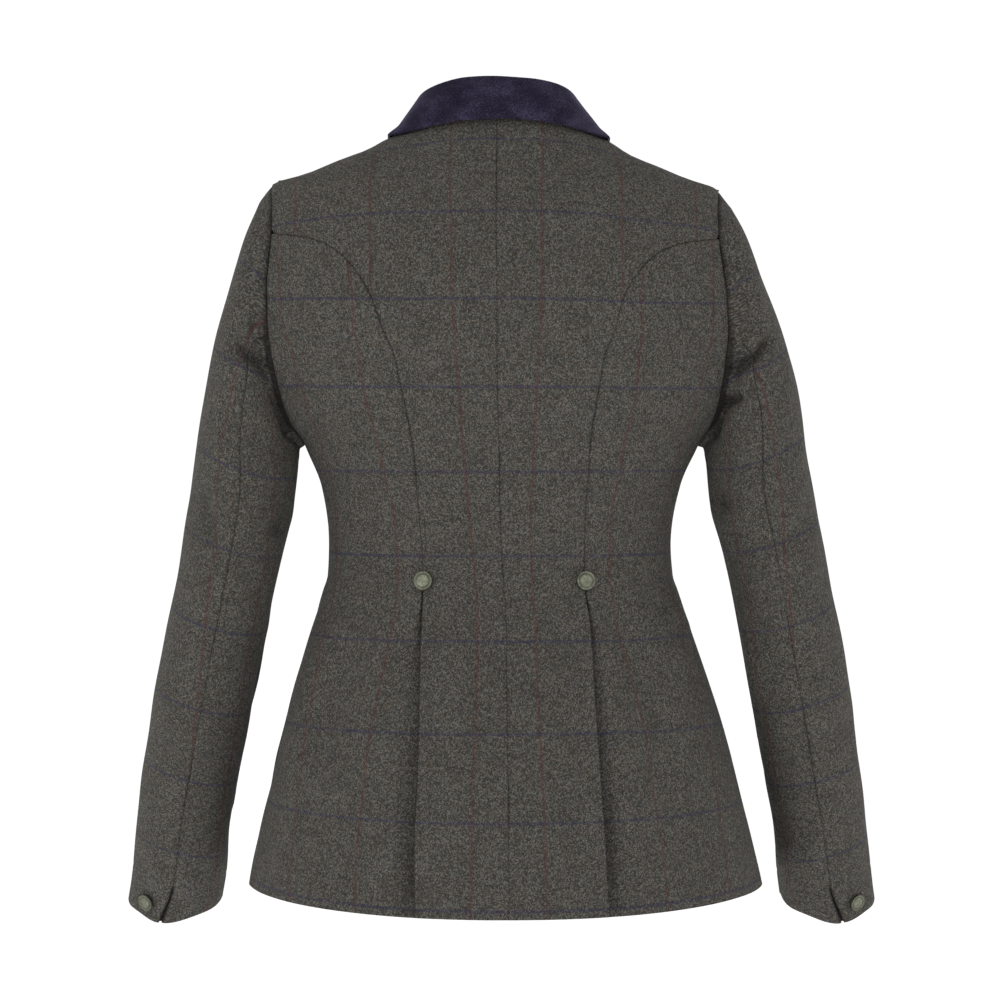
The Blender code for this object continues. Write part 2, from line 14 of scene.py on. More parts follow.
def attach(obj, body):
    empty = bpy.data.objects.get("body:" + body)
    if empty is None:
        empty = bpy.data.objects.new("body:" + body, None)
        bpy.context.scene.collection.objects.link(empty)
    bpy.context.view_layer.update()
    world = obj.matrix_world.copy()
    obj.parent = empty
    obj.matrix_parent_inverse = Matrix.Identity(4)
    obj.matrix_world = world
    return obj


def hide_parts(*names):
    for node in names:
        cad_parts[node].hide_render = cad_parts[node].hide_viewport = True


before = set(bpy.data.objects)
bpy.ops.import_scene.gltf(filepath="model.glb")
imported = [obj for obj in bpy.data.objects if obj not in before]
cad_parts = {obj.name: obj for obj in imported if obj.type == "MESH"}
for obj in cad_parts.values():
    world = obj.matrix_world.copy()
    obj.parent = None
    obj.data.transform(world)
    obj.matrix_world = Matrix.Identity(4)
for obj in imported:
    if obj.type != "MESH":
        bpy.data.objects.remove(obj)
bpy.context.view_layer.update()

# %% [markdown]
# The picture was taken from straight behind, at the height of the shoulder blades, from far enough away
# that the sleeves and the back have nearly the same scale. The camera stands level, and its shift lowers
# the view, so upright lines stay upright.

# %% Camera
CAMERA_DISTANCE = 2.6
CAMERA_HEIGHT = -0.229
CAMERA_ASIDE = -0.0004
VIEW_WIDTH = 0.85  # width that the picture takes in at the jacket's middle
VIEW_SHIFT = -0.1  # share of that width by which the view is lowered
SENSOR = 36.0
camera_data = bpy.data.cameras.new("studio_camera")
camera = bpy.data.objects.new("studio_camera", camera_data)
bpy.context.scene.collection.objects.link(camera)
camera.location = (CAMERA_ASIDE, CAMERA_DISTANCE, CAMERA_HEIGHT)
camera.rotation_euler = (math.pi / 2, 0, math.pi)
camera_data.sensor_width = SENSOR
camera_data.lens = SENSOR * CAMERA_DISTANCE / VIEW_WIDTH
camera_data.shift_y = VIEW_SHIFT
camera_data.clip_end = 50
bpy.context.scene.camera = camera
print("lens", round(camera_data.lens, 1), "mm")

# %% [markdown]
# The body of a tailored jacket is a stack of rings. Each ring is a soft oval. Its half width over the back
# was read from the photograph at each height, and its depth is that of a usual figure. A curve that turns
# only where its table turns keeps the waist and the hips smooth, without a bulge between two rows.

# %% Cloth sizes
CLOTH = 0.002
BUTTON_GAP = 0.0003
HEM_HEIGHT = -0.645
BUTTON_HEIGHT = -0.376
VENT_START = -0.390
UNDERLAP = 0.035
LAP_DROP = 0.0032
VENT_DROP_AT_HEM = 0.010
FRONT_LAP = 0.020
LAPEL_LIFT = 0.0028
SHOULDER_HEIGHT = -0.047
NECK_HEIGHT = 0.006
BACK_ROUNDNESS = 2.2
FRONT_ROUNDNESS = 2.3
ARMHOLE_CENTRE = -0.1575
ARMHOLE_HALF_HEIGHT = 0.1105
ARMHOLE_HALF_DEPTH = {"back": 0.056, "front": 0.050}
SIDES = ((1, "left"), (-1, "right"))


# %% Rings of the body
def metres(*rows):
    """A table's rows, written in millimetres."""
    return tuple(tuple(value / 1000 for value in row) for row in rows)


# Height, half width over the back
BACK_HALF_WIDTH = metres(
    (-645, 217), (-620, 212), (-569, 201), (-518, 189.5), (-467, 175), (-416, 158.5), (-390.5, 150.5),
    (-378, 146.6), (-352, 145), (-327, 147), (-301, 152), (-276, 163), (-264, 169), (-250, 182.4),
    (-229, 196.8), (-201.4, 209.2), (-181.4, 214.3), (-165, 216.5), (-141.3, 216), (-112, 210.5),
    (-85.4, 202.2), (-70, 197.5), (-58, 193.5), (-47, 188.7), (-38.6, 163.6), (-28.4, 138.6),
    (-18.2, 112.6), (-10, 98.5), (-3, 86), (6, 75),
)
# The same over the front, which is narrower only at the armholes
FRONT_HALF_WIDTH = BACK_HALF_WIDTH[:13] + metres(
    (-250, 178), (-229, 186), (-201.4, 191), (-181.4, 192), (-141.3, 191), (-112, 190), (-70, 190),
) + BACK_HALF_WIDTH[-7:]
# Height, depth behind the arms
BACK_DEPTH = metres(
    (-645, 155), (-569, 142), (-518, 130), (-467, 115), (-416, 97), (-376, 86), (-352, 84), (-300, 90),
    (-250, 99), (-200, 106), (-160, 109), (-120, 106), (-80, 97), (-47, 82), (-20, 66), (6, 52),
)
# Height, depth in front of the arms
FRONT_DEPTH = metres(
    (-645, 160), (-518, 145), (-416, 125), (-352, 118), (-276, 130), (-240, 138), (-200, 140), (-150, 125),
    (-100, 105), (-47, 75), (6, 45),
)

# %% Seam lines on the body
# Height, sideways place of the centre back seam
CENTRE_SEAM = metres((-645, -7.6), (-430, -5.8), (-310, 0), (-150, 2), (6, 3))
# Height, distance from the middle of the princess seam and, below the button, of the vent's edge
PRINCESS_ABOVE_WAIST = metres(
    (-266.7, 73.3), (-240, 77.5), (-212.7, 82.3), (-190, 87.1), (-172, 94.4), (-146, 102.7), (-131, 110),
    (-113.7, 123), (-101.9, 138), (-94.7, 158), (-90.6, 185),
)
PRINCESS_SEAM = {
    1: metres(
        (-645, 67.6), (-594.5, 68.4), (-548, 66.9), (-500, 65.5), (-455, 65.1), (-416, 64.1), (-376, 63),
        (-330, 66), (-287.5, 70.6),
    ) + PRINCESS_ABOVE_WAIST,
    -1: metres(
        (-645, 88.2), (-594.5, 85.6), (-548, 82.6), (-500, 79.7), (-455, 77), (-416, 74.7), (-376, 70),
        (-330, 70.5), (-287.5, 72.2),
    ) + PRINCESS_ABOVE_WAIST,
}
PRINCESS_TOP = -0.0906
# Height, distance from the middle of a front's own edge
FRONT_EDGE = metres(
    (-645, 98), (-634, 70), (-615, 47), (-600, 34), (-560, 8), (-500, -12), (-420, -20), (-225, -20),
    (-210, -16), (-190, 3.5), (-150, 21.5), (-100, 40), (-75, 49), (-47, 58), (-20, 66.5), (-10, 70),
    (6, 72.5),
)


# %% Smooth curves through the tables
def curve(table, at):
    """The smooth curve through a table's points, for one value or for an array of them."""
    table = np.array(table, float)
    xs, ys = table[:, 0], table[:, 1]
    at = np.asarray(at, float)
    slopes = np.diff(ys) / np.diff(xs)
    before, after = slopes[:-1], slopes[1:]
    same = before * after > 0
    middle = np.where(same, 2 * before * after / np.where(same, before + after, 1), 0)
    turn = np.concatenate(([slopes[0]], middle, [slopes[-1]]))
    i = np.clip(np.searchsorted(xs, at, side="right") - 1, 0, len(slopes) - 1)
    width = xs[i + 1] - xs[i]
    t = np.clip((at - xs[i]) / width, 0, 1)
    start = ys[i] * (1 + 2 * t) + turn[i] * width * t
    end = ys[i + 1] * (3 - 2 * t) - turn[i + 1] * width * (1 - t)
    past = np.minimum(at - xs[0], 0) * turn[0] + np.maximum(at - xs[-1], 0) * turn[-1]
    return start * (1 - t) ** 2 + end * t ** 2 + past


def ease(t):
    t = np.clip(t, 0, 1)
    return t * t * (3 - 2 * t)


def bell(distance, width):
    """1 on a line and 0 well beside it."""
    return np.exp(-((distance / width) ** 2))


def unit(vectors):
    return vectors / np.linalg.norm(vectors, axis=-1, keepdims=True)


# %% Points of the body
def body_point(angle, height):
    """Angle 0 is the centre back, +90 degrees the wearer's left side and 180 the centre front."""
    angle, height = np.broadcast_arrays(angle, height)
    s, c = np.sin(angle), np.cos(angle)
    back = c >= 0
    half_width = np.where(back, curve(BACK_HALF_WIDTH, height), curve(FRONT_HALF_WIDTH, height))
    depth = np.where(back, curve(BACK_DEPTH, height), -curve(FRONT_DEPTH, height))
    power = np.where(back, 2 / BACK_ROUNDNESS, 2 / FRONT_ROUNDNESS)
    x = half_width * np.sign(s) * np.abs(s) ** power
    y = depth * np.abs(c) ** power
    nape_rise = 0.006 * ease((height + 0.060) / 0.066) * np.maximum(c, 0) ** 2
    low = ease((-0.500 - height) / 0.145)
    hem_rise = low * (0.008 * s * s - 0.004 * np.maximum(-c, 0) ** 2)
    return np.stack((x, y, height + nape_rise + hem_rise), axis=-1)


def body_normal(angle, height):
    step, rise = 1e-4, 1e-4
    along = body_point(angle + step, height) - body_point(angle - step, height)
    up = body_point(angle, height + rise) - body_point(angle, height - rise)
    return unit(np.cross(along, -up))


def angle_of(x, height, front=False):
    """The angle of the body's point this far from the middle."""
    table = FRONT_HALF_WIDTH if front else BACK_HALF_WIDTH
    roundness = FRONT_ROUNDNESS if front else BACK_ROUNDNESS
    share = np.minimum(np.abs(x) / curve(table, height), 1)
    angle = np.sign(x) * np.arcsin(share ** (roundness / 2))
    return math.pi - angle if front else angle


def armhole_angle(height, side):
    """The angle of the armhole's back or front edge, and of the side and shoulder seams beyond it."""
    k = np.clip((height - ARMHOLE_CENTRE) / ARMHOLE_HALF_HEIGHT, -1, 1)
    y = ARMHOLE_HALF_DEPTH[side] * np.sqrt(1 - k * k)
    if side == "back":
        return np.arccos(np.minimum((y / curve(BACK_DEPTH, height)) ** (BACK_ROUNDNESS / 2), 1))
    return math.pi - np.arccos(np.minimum((y / curve(FRONT_DEPTH, height)) ** (FRONT_ROUNDNESS / 2), 1))


print("waist half width", round(float(curve(BACK_HALF_WIDTH, -0.352)), 4))

# %% [markdown]
# Cloth creases where it is held and where it bends: under the sleeve's head, at the elbow, and beside the
# waist buttons where the skirt flares. Here each crease is one soft trough or ridge drawn from point to
# point. A simulation would give creases too, but not these ones in these places.

# %% Creases
CREASE_DEPTH = 1.9  # how many times deeper than in the table
WAVE_HEIGHT = 0.00034
# Each crease: sideways place and height of both ends, its width, and its depth, which is negative on a ridge
BODY_CREASES = metres(
    (181.5, -197, 169, -220.5, 4, 1.5), (147, -427, 162, -466.5, 10, -2),
    (162, -466.5, 175.5, -519, 10, -2), (175.5, -519, 186, -561.5, 11, -1.6),
    (128, -430, 150, -520, 12, 1.6), (-143, -399.5, -158, -423.5, 9, -1.5),
    (-90.5, -405, -115.5, -456.5, 12, 1.8), (-98, -488.5, -101.5, -598, 12, -1.8),
    (-126, -470, -140, -600, 14, 1.5), (92, -500, 98, -620, 12, -1.4), (-183.5, -190, -172, -213, 5, 1.3),
)
FRONT_CREASES = metres(
    (130, -235, 90, -280, 12, 1.6), (-128, -240, -86, -286, 12, 1.6), (120, -340, 50, -362, 9, 1.2),
    (-118, -344, -48, -360, 9, 1.2), (125, -430, 140, -590, 14, -1.8), (-122, -440, -145, -600, 14, -1.8),
)
LEFT_SLEEVE_CREASES = metres(
    (221.5, -181.5, 188, -205, 6, 3.6), (192.5, -160, 188.5, -200, 4, 3), (186, -222, 176, -262, 4.5, 3),
    (255.4, -304, 241.2, -345.5, 9, 2.2), (173.7, -320, 189.5, -344, 8, 2.6),
    (236, -236, 200, -262, 10, 1.4), (210, -375, 250, -362, 10, 1.6), (290, -520, 262, -545, 10, 1.2),
)
RIGHT_SLEEVE_CREASES = metres(
    (-189, -206, -225, -176, 5, 4.6), (-181.2, -234, -198.7, -224, 4.5, 3.8),
    (-184, -225, -176, -262, 4.5, 3), (-170, -298.5, -184, -322, 7, 3),
    (-201.3, -413.5, -215.5, -479, 7, -1.8), (-232.5, -581.8, -242.7, -611.5, 6, 2),
    (-258, -330, -232, -352, 10, 2), (-236, -268, -205, -290, 10, 1.4), (-300, -500, -268, -522, 10, 1.2),
)


def creased(points, normals, creases, side, facing=1):
    """How far each point moves inwards for one side's creases, where the cloth faces +Y or -Y."""
    total = np.zeros(points.shape[:-1])
    seen = ease(normals[..., 1] * facing * 2.5)
    for x0, z0, x1, z1, width, depth in creases:
        start, end = np.array((x0, z0)), np.array((x1, z1))
        run = end - start
        spot = points[..., (0, 2)] * (side, 1) - start
        share = (spot @ run) / (run @ run)
        beside = np.abs(spot[..., 0] * run[1] - spot[..., 1] * run[0]) / np.linalg.norm(run)
        ends = ease(share / 0.3 + 0.5) * ease((1 - share) / 0.3 + 0.5)
        total += depth * bell(beside, width) * ends
    return CREASE_DEPTH * total * seen


def uneven(u, v, seed):
    """Slight long waves, since pressed wool never lies quite flat."""
    waves = np.sin(u * 61 + v * 23 + seed) + np.sin(v * 47 - u * 31 + seed * 2.3)
    return WAVE_HEIGHT * (waves + 0.6 * np.sin(u * 133 + v * 88 + seed * 4.1))


print("creases", len(BODY_CREASES) + len(FRONT_CREASES) + len(LEFT_SLEEVE_CREASES + RIGHT_SLEEVE_CREASES))

# %% [markdown]
# The cloth is a grey-green tweed: many colours of spun wool that mix to one muted tone, with a windowpane
# check over it, navy lines across and maroon lines down.

# %% Node helpers
def nodes_of(name):
    material = bpy.data.materials.new(name)
    material.use_nodes = True
    return material, material.node_tree, material.node_tree.nodes["Principled BSDF"]


def value_of(tree, source, socket):
    """Sets a socket to a plain value, or links another node's output to it."""
    if isinstance(source, (int, float, tuple)):
        socket.default_value = source
    else:
        tree.links.new(source, socket)


def fill(tree, node, **inputs):
    """Sets or links a node's sockets by name, with _ for a space."""
    for name, source in inputs.items():
        value_of(tree, source, node.inputs[name.replace("_", " ")])
    return node


def new_node(tree, kind, **inputs):
    return fill(tree, tree.nodes.new("ShaderNode" + kind), **inputs)


def calc(tree, operation, a, b=0.0):
    node = new_node(tree, "Math")
    node.operation = operation
    for socket, source in zip(node.inputs, (a, b)):
        value_of(tree, source, socket)
    return node.outputs[0]


def noise(tree, vector, scale, detail=2.0, rough=0.5):
    node = new_node(tree, "TexNoise", Vector=vector, Scale=scale, Detail=detail, Roughness=rough)
    return node.outputs["Fac"]


def ramp(tree, source, stops):
    node = new_node(tree, "ValToRGB", Fac=source)
    elements = node.color_ramp.elements
    while len(elements) < len(stops):
        elements.new(0.5)
    for element, (place, colour) in zip(elements, stops):
        element.position = place
        element.color = (*colour, 1)
    return node.outputs[0]


def blend_colours(tree, share, a, b, mode="MIX"):
    node = new_node(tree, "Mix")
    node.data_type = "RGBA"
    node.blend_type = mode
    for number, source in ((0, share), (6, a), (7, b)):
        value_of(tree, source, node.inputs[number])
    return node.outputs[2]


def bump_of(tree, height, strength, distance, before=None):
    node = new_node(tree, "Bump", Strength=strength, Distance=distance, Height=height)
    if before:
        tree.links.new(before, node.inputs["Normal"])
    return node.outputs[0]


def stretched(tree, vector, scale):
    return new_node(tree, "Mapping", Vector=vector, Scale=scale).outputs[0]


def mixed(tree, share, a, b):
    return calc(tree, "ADD", calc(tree, "MULTIPLY", a, share), calc(tree, "MULTIPLY", b, 1 - share))


def darkened(tree, share, colour, dark):
    """The colour, darker where the mesh stores it: painted shade in folds, vents and armholes, and the dark
    line of a seam or a button's groove.
    """
    ditch_and_shade_node = new_node(tree, "Attribute")
    ditch_and_shade_node.attribute_name = "ditch_and_shade"
    return blend_colours(tree, calc(tree, "MULTIPLY", ditch_and_shade_node.outputs["Fac"], share), colour, (*dark, 1))


# %% Tweed with its windowpane check
CHECK_HEIGHT = 0.072  # from one navy line to the next
CHECK_WIDTH = 0.067  # from one maroon line to the next
MAROON_OFFSET = 0.0375  # first maroon line from the centre back seam
LINE_HALF_WIDTH = 0.0014
LINE_WOBBLE = 0.0016
YARN_SCALE = 1300
WOOL_DARK = (0.0105, 0.0102, 0.0094)
WOOL_MIDDLE = (0.0500, 0.0478, 0.0422)
WOOL_LIGHT = (0.168, 0.160, 0.140)
# The near-black of painted shade in folds, vents and armholes, and of the seams' dark lines
WOOL_SEAM_AND_SHADE = (0.007, 0.0066, 0.006)  # in the ditch of a seam
FLECKS = (
    (0.08, (0.105, 0.062, 0.043)), (0.30, WOOL_MIDDLE),
    (0.62, (0.062, 0.074, 0.052)), (0.92, (0.060, 0.066, 0.085)),
)
CLOUDS = ((0.3, (0.43, 0.42, 0.41)), (0.7, (0.57, 0.57, 0.57)))
NAVY = (0.030, 0.028, 0.060)
MAROON = (0.075, 0.028, 0.026)


def line_mask(tree, along, spacing, wobble, broken):
    """1 on the lines that lie this far apart, soft at their edges and broken by the yarn."""
    turns = calc(tree, "FRACT", calc(tree, "ADD", calc(tree, "DIVIDE", along, spacing), 0.5))
    distance = calc(tree, "MULTIPLY", calc(tree, "ABSOLUTE", calc(tree, "SUBTRACT", turns, 0.5)), spacing)
    wobble = calc(tree, "MULTIPLY", calc(tree, "SUBTRACT", wobble, 0.5), LINE_WOBBLE)
    distance = calc(tree, "ADD", distance, wobble)
    outer, inner = LINE_HALF_WIDTH * 1.35, LINE_HALF_WIDTH * 0.45
    edge = new_node(tree, "MapRange", Value=distance, From_Min=outer, From_Max=inner)
    edge.interpolation_type = "SMOOTHSTEP"
    return calc(tree, "MULTIPLY", edge.outputs[0], broken)


def make_tweed():
    material, tree, shader = nodes_of("tweed_windowpane")
    place = new_node(tree, "UVMap").outputs[0]
    across, down, _ = new_node(tree, "SeparateXYZ", Vector=place).outputs
    grain = noise(tree, place, YARN_SCALE, 2.0, 0.6)
    specks = new_node(tree, "TexVoronoi", Scale=YARN_SCALE, Vector=stretched(tree, place, (1.0, 0.8, 1.0)))
    chance, other_chance, _ = new_node(tree, "SeparateColor", Color=specks.outputs["Color"]).outputs
    tone = mixed(tree, 0.70, chance, grain)
    wool = ramp(tree, tone, ((0.14, WOOL_DARK), (0.50, WOOL_MIDDLE), (0.82, WOOL_LIGHT)))
    wool = blend_colours(tree, 0.34, wool, ramp(tree, other_chance, FLECKS))
    cloud = ramp(tree, noise(tree, place, 38, 3.0), CLOUDS)
    wool = blend_colours(tree, 0.5, wool, cloud, "OVERLAY")
    wobble = noise(tree, place, 330, 2.0)
    patchy = calc(tree, "ADD", calc(tree, "MULTIPLY", noise(tree, place, 300, 1.0), 2.2), -0.45)
    from_maroon = calc(tree, "SUBTRACT", across, MAROON_OFFSET)
    checks = ((from_maroon, CHECK_WIDTH, 0.62, MAROON), (down, CHECK_HEIGHT, 0.66, NAVY))
    for along, spacing, strength, colour in checks:
        lines = line_mask(tree, along, spacing, wobble, patchy)
        wool = blend_colours(tree, calc(tree, "MULTIPLY", lines, strength), wool, (*colour, 1))
    twill = new_node(tree, "TexWave", Scale=215, Distortion=1.2, Vector=place)
    twill.bands_direction = "DIAGONAL"
    relief = bump_of(tree, twill.outputs["Fac"], 0.22, 0.0004)
    relief = bump_of(tree, noise(tree, place, 1500, 2.0), 0.35, 0.0005, relief)
    relief = bump_of(tree, grain, 0.35, 0.0006, relief)
    # Painted shade: the wool turns towards a near-black colour where the mesh stores it, in folds, the vents,
    # the armholes and along the seams.
    fill(
        tree, shader, Base_Color=darkened(tree, 0.80, wool, WOOL_SEAM_AND_SHADE), Normal=relief, Roughness=0.95,
        Specular_IOR_Level=0.12, Sheen_Weight=0.03, Sheen_Roughness=0.6, Sheen_Tint=(0.75, 0.74, 0.70, 1),
    )
    return material


tweed = make_tweed()
print("tweed nodes", len(tweed.node_tree.nodes))


# %% [markdown]
# The collar is cotton velvet. Its short pile turns light where it is brushed one way and dark where it
# lies the other way, so its colour is a dark navy with soft blotches and a strong sheen at its edges.

# %% Velvet and pewter
VELVET_TONES = ((0.34, (0.006, 0.0045, 0.011)), (0.50, (0.019, 0.0152, 0.032)), (0.66, (0.056, 0.046, 0.082)))
PEWTER_TONES = ((0.32, (0.085, 0.089, 0.062)), (0.5, (0.175, 0.182, 0.132)), (0.7, (0.31, 0.32, 0.245)))
# The dark of the patina in the buttons' grooves, and of painted shade on their outer edge
PEWTER_PATINA_AND_SHADE = (0.022, 0.022, 0.015)


def make_velvet():
    material, tree, shader = nodes_of("navy_velvet")
    place = new_node(tree, "TexCoord").outputs["Object"]
    brushed = noise(tree, stretched(tree, place, (1.0, 1.0, 1.6)), 38, 3.0, 0.55)
    pile = noise(tree, place, 900, 2.0)
    relief = bump_of(tree, brushed, 0.30, 0.0010, bump_of(tree, pile, 0.35, 0.0005))
    colour = ramp(tree, mixed(tree, 0.45, brushed, pile), VELVET_TONES)
    fill(
        tree, shader, Base_Color=colour, Normal=relief, Roughness=0.9, Specular_IOR_Level=0.1,
        Sheen_Weight=0.22, Sheen_Roughness=0.35, Sheen_Tint=(0.55, 0.50, 0.75, 1),
    )
    return material


def make_pewter():
    material, tree, shader = nodes_of("pewter")
    place = new_node(tree, "TexCoord").outputs["Object"]
    cast, stain = noise(tree, place, 900, 3.0), noise(tree, place, 260, 2.0)
    # The grooves darken with patina and the outer edge with painted shade, as the mesh stores them.
    colour = darkened(tree, 0.75, ramp(tree, mixed(tree, 0.5, cast, stain), PEWTER_TONES), PEWTER_PATINA_AND_SHADE)
    relief = bump_of(tree, cast, 0.35, 0.0003)
    fill(tree, shader, Base_Color=colour, Normal=relief, Metallic=0.75, Roughness=0.42)
    return material


velvet = make_velvet()
pewter = make_pewter()
print("finishes", [m.name for m in (tweed, velvet, pewter)])


# %% [markdown]
# Every pattern piece starts as a flat grid, as a piece of cloth starts flat. Its points are then moved to
# the body's form, and Solidify gives the cloth its thickness towards the inside. The cells are narrow near
# the edges, because the cloth dips there into its seams.

# %% A sheet of cloth from a grid
SOFT_EDGE = 0.0005
OTHER_CLOTH = (10 * CHECK_WIDTH, 7 * CHECK_HEIGHT)  # the right side is cut from another part of the cloth


def clear_selection():
    if bpy.context.object and bpy.context.object.mode != "OBJECT":
        bpy.ops.object.mode_set(mode="OBJECT")
    bpy.ops.object.select_all(action="DESELECT")


def finish_modifiers(piece):
    clear_selection()
    bpy.context.view_layer.objects.active = piece
    piece.select_set(True)
    for modifier in list(piece.modifiers):
        bpy.ops.object.modifier_apply(modifier=modifier.name)
    bpy.ops.object.shade_smooth_by_angle(angle=math.radians(50))
    clear_selection()


def grid_of(name, points, cloth_map, outwards):
    """A grid with its points moved to place, its map in metres, and its faces turned outwards."""
    rows, columns = points.shape[:2]
    clear_selection()
    bpy.ops.mesh.primitive_grid_add(x_subdivisions=columns - 1, y_subdivisions=rows - 1, calc_uvs=True)
    piece = bpy.context.object
    piece.name = name
    mesh = piece.data
    mesh.name = name
    mesh.vertices.foreach_set("co", points.reshape(-1))
    corner = np.empty(len(mesh.loops), np.int32)
    mesh.loops.foreach_get("vertex_index", corner)
    mesh.uv_layers.active.data.foreach_set("uv", cloth_map.reshape(-1, 2)[corner].reshape(-1))
    mesh.update()
    first = np.array(mesh.polygons[len(mesh.polygons) // 2].normal)
    middle = mesh.polygons[len(mesh.polygons) // 2].vertices[0]
    if first @ outwards.reshape(-1, 3)[middle] < 0:
        bpy.ops.object.mode_set(mode="EDIT")
        bpy.ops.mesh.select_all(action="SELECT")
        bpy.ops.mesh.flip_normals()
        bpy.ops.object.mode_set(mode="OBJECT")
    return piece


def darken(piece, ditch_and_shade):
    """Stores on each point how far its finish darkens: painted shade in folds, vents, armholes and at a
    button's outer edge, and the dark line of a seam or a button's groove.
    """
    shade = piece.data.attributes.new("ditch_and_shade", "FLOAT", "POINT")
    shade.data.foreach_set("value", np.clip(ditch_and_shade, 0, 1).astype(np.float32).reshape(-1))


def cloth_sheet(name, points, cloth_map, outwards, finish, ditch_and_shade=None):
    """A finished piece of cloth that stands in for the solid of the same name."""
    if name.endswith("right"):
        cloth_map = cloth_map + OTHER_CLOTH
    points = leaned(points, "sleeve" in name)
    piece = grid_of(name + "_cloth", points, cloth_map, outwards)
    if ditch_and_shade is not None:
        darken(piece, ditch_and_shade)
    wall = piece.modifiers.new("thickness", "SOLIDIFY")
    wall.thickness = CLOTH
    wall.offset = -1
    edge = piece.modifiers.new("soft_edge", "BEVEL")
    edge.width = SOFT_EDGE
    edge.segments = 2
    edge.limit_method = "ANGLE"
    edge.angle_limit = math.radians(60)
    finish_modifiers(piece)
    piece.data.materials.clear()
    piece.data.materials.append(finish)
    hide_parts(name)
    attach(piece, "root")


def tweed_sheet(name, side, points, normals, move, cloth_map, ditch_and_shade=None):
    """A tweed piece: its points move along their normals, and are mirrored for the wearer's right side."""
    flip = (side, 1, 1)
    moved = (points + normals * move[..., None]) * flip
    cloth_sheet(name, moved, cloth_map, normals * flip, tweed, ditch_and_shade=ditch_and_shade)


def crowded(count, strength=0.86):
    """Shares from 0 to 1 that lie closer together near both ends."""
    t = np.linspace(0, 1, count)
    return t - strength * np.sin(2 * math.pi * t) / (2 * math.pi)


def seam_dip(distance, width=0.0015, depth=0.0006):
    return depth * bell(distance, width)


# %% [markdown]
# Nothing that hangs is quite even. The picture shows the left shoulder a little higher than the right one
# and the skirt a few millimetres towards the right, so every finished piece gets the same slight lean.

# %% The jacket's slight lean
# Height, shift towards the wearer's left
BODY_LEAN = metres(
    (-700, -5.4), (-620, -5), (-550, -4.2), (-460, -2.5), (-360, -0.4), (-270, -1.4), (-200, 0), (-120, 3),
    (-50, 3.8), (-20, 1.6), (0, 0), (30, 1.6), (60, 2.2),
)
SLEEVE_LEAN = metres((-700, -1.6), (-600, -1.8), (-500, -2.2), (-360, -3)) + BODY_LEAN[-8:]
RIGHT_SLEEVE_GAP = 0.0028  # how much farther out the top of the right sleeve bulges
# Sideways place, rise of the shoulders
SHOULDER_LEAN = metres(
    (-400, -3), (-190, -3.8), (-130, -4), (-60, -0.8), (0, 0), (60, -0.4), (130, 0.4), (185, 0.6),
    (400, 0.6),
)


def leaned(points, is_sleeve=False):
    height = points[..., 2]
    aside = curve(SLEEVE_LEAN if is_sleeve else BODY_LEAN, height)
    if is_sleeve:
        right = ease((-points[..., 0] - 0.19) / 0.03)
        aside = aside - RIGHT_SLEEVE_GAP * right * ease((height + 0.29) / 0.08)
    rise = curve(SHOULDER_LEAN, points[..., 0]) * ease((height + 0.30) / 0.20)
    return points + np.stack((aside, 0 * aside, rise), axis=-1)


# %% [markdown]
# Along the body the navy lines were read from the centre back, and each side's maroon lines from their
# distance to the nearest seam. The seams take cloth in at the waist, so the lines bend towards them there.

# %% The check's place on the body
# Heights of navy lines 9 to -2 at the centre back
NAVY_ROWS = (
    -0.709, -0.6385, -0.5697, -0.4998, -0.4266, -0.3577, -0.288, -0.218, -0.1459, -0.0733, -0.0103, 0.05,
)
# Height, cloth that the centre back seam has taken in
CENTRE_TAKE_IN = metres(
    (-645, 6.5), (-570, 8.5), (-520, 10.3), (-470, 12.7), (-430, 13.5), (-390, 14), (-358, 13.7),
    (-288, 9.8), (-218, 5.3), (-146, 1), (-73, 0),
)
# Height, distance of the side back's first maroon line from the princess seam
SIDE_LINE = metres(
    (-645, 52), (-582, 49), (-548, 46), (-507, 43), (-475, 37), (-433, 28.6), (-402, 23.5), (-367.5, 22),
    (-330, 22.2), (-287.5, 27.5), (-220, 32), (-182, 27), (-140, 14), (-113.7, -1), (-101.9, -17),
    (-94.7, -39), (-90.6, -70),
)


def cloth_down(height, x):
    """Metres of cloth down from the second navy line."""
    droop = 0.0030 * (x / 0.15) ** 2 * ease((height + 0.14) / 0.06)
    return curve(list(zip(NAVY_ROWS, range(9, -3, -1))), height + droop) * CHECK_HEIGHT


def princess_line(heights, side):
    """The princess seam's sideways place, less the lean that the skirt gets later."""
    skirt = ease((-0.26 - heights) / 0.10)
    return curve(PRINCESS_SEAM[side], heights) - side * curve(BODY_LEAN, heights) * skirt


def over_shoulder(points):
    """Cloth that a column takes beyond its height where it leans over the shoulder."""
    step = np.diff(points[..., 1:], axis=0)
    extra = np.hypot(step[..., 0], step[..., 1]) - np.abs(step[..., 1])
    height = points[:-1, :, 2]
    extra = np.where(height > -0.13, extra * (0.25 + 0.75 * ease((height + 0.075) / 0.02)), 0)
    total = extra[::-1].cumsum(0)[::-1]
    return np.concatenate((total, 0 * total[-1:]))


def arc(points):
    steps = np.linalg.norm(np.diff(points, axis=1), axis=2)
    return np.concatenate((np.zeros((len(points), 1)), np.cumsum(steps, axis=1)), axis=1)


def heights_between(top, bottom, spacing=0.0042):
    return np.linspace(top, bottom, max(int(round((top - bottom) / spacing)) + 1, 3))


def sorted_heights(*groups):
    """All the heights once, from the top down."""
    return np.unique(np.round(np.concatenate(groups), 6))[::-1]


def edge_distances(points):
    """Each point's distance to the first and to the last edge, across the piece."""
    along = arc(points)
    return along, along[:, -1:] - along


def panel(heights, angles):
    """The heights, points and outward directions of a panel on its grid of angles."""
    h = np.broadcast_to(heights[:, None], angles.shape)
    return h, body_point(angles, h), body_normal(angles, h)


# %% Centre backs
CENTRE_COLUMNS = 52


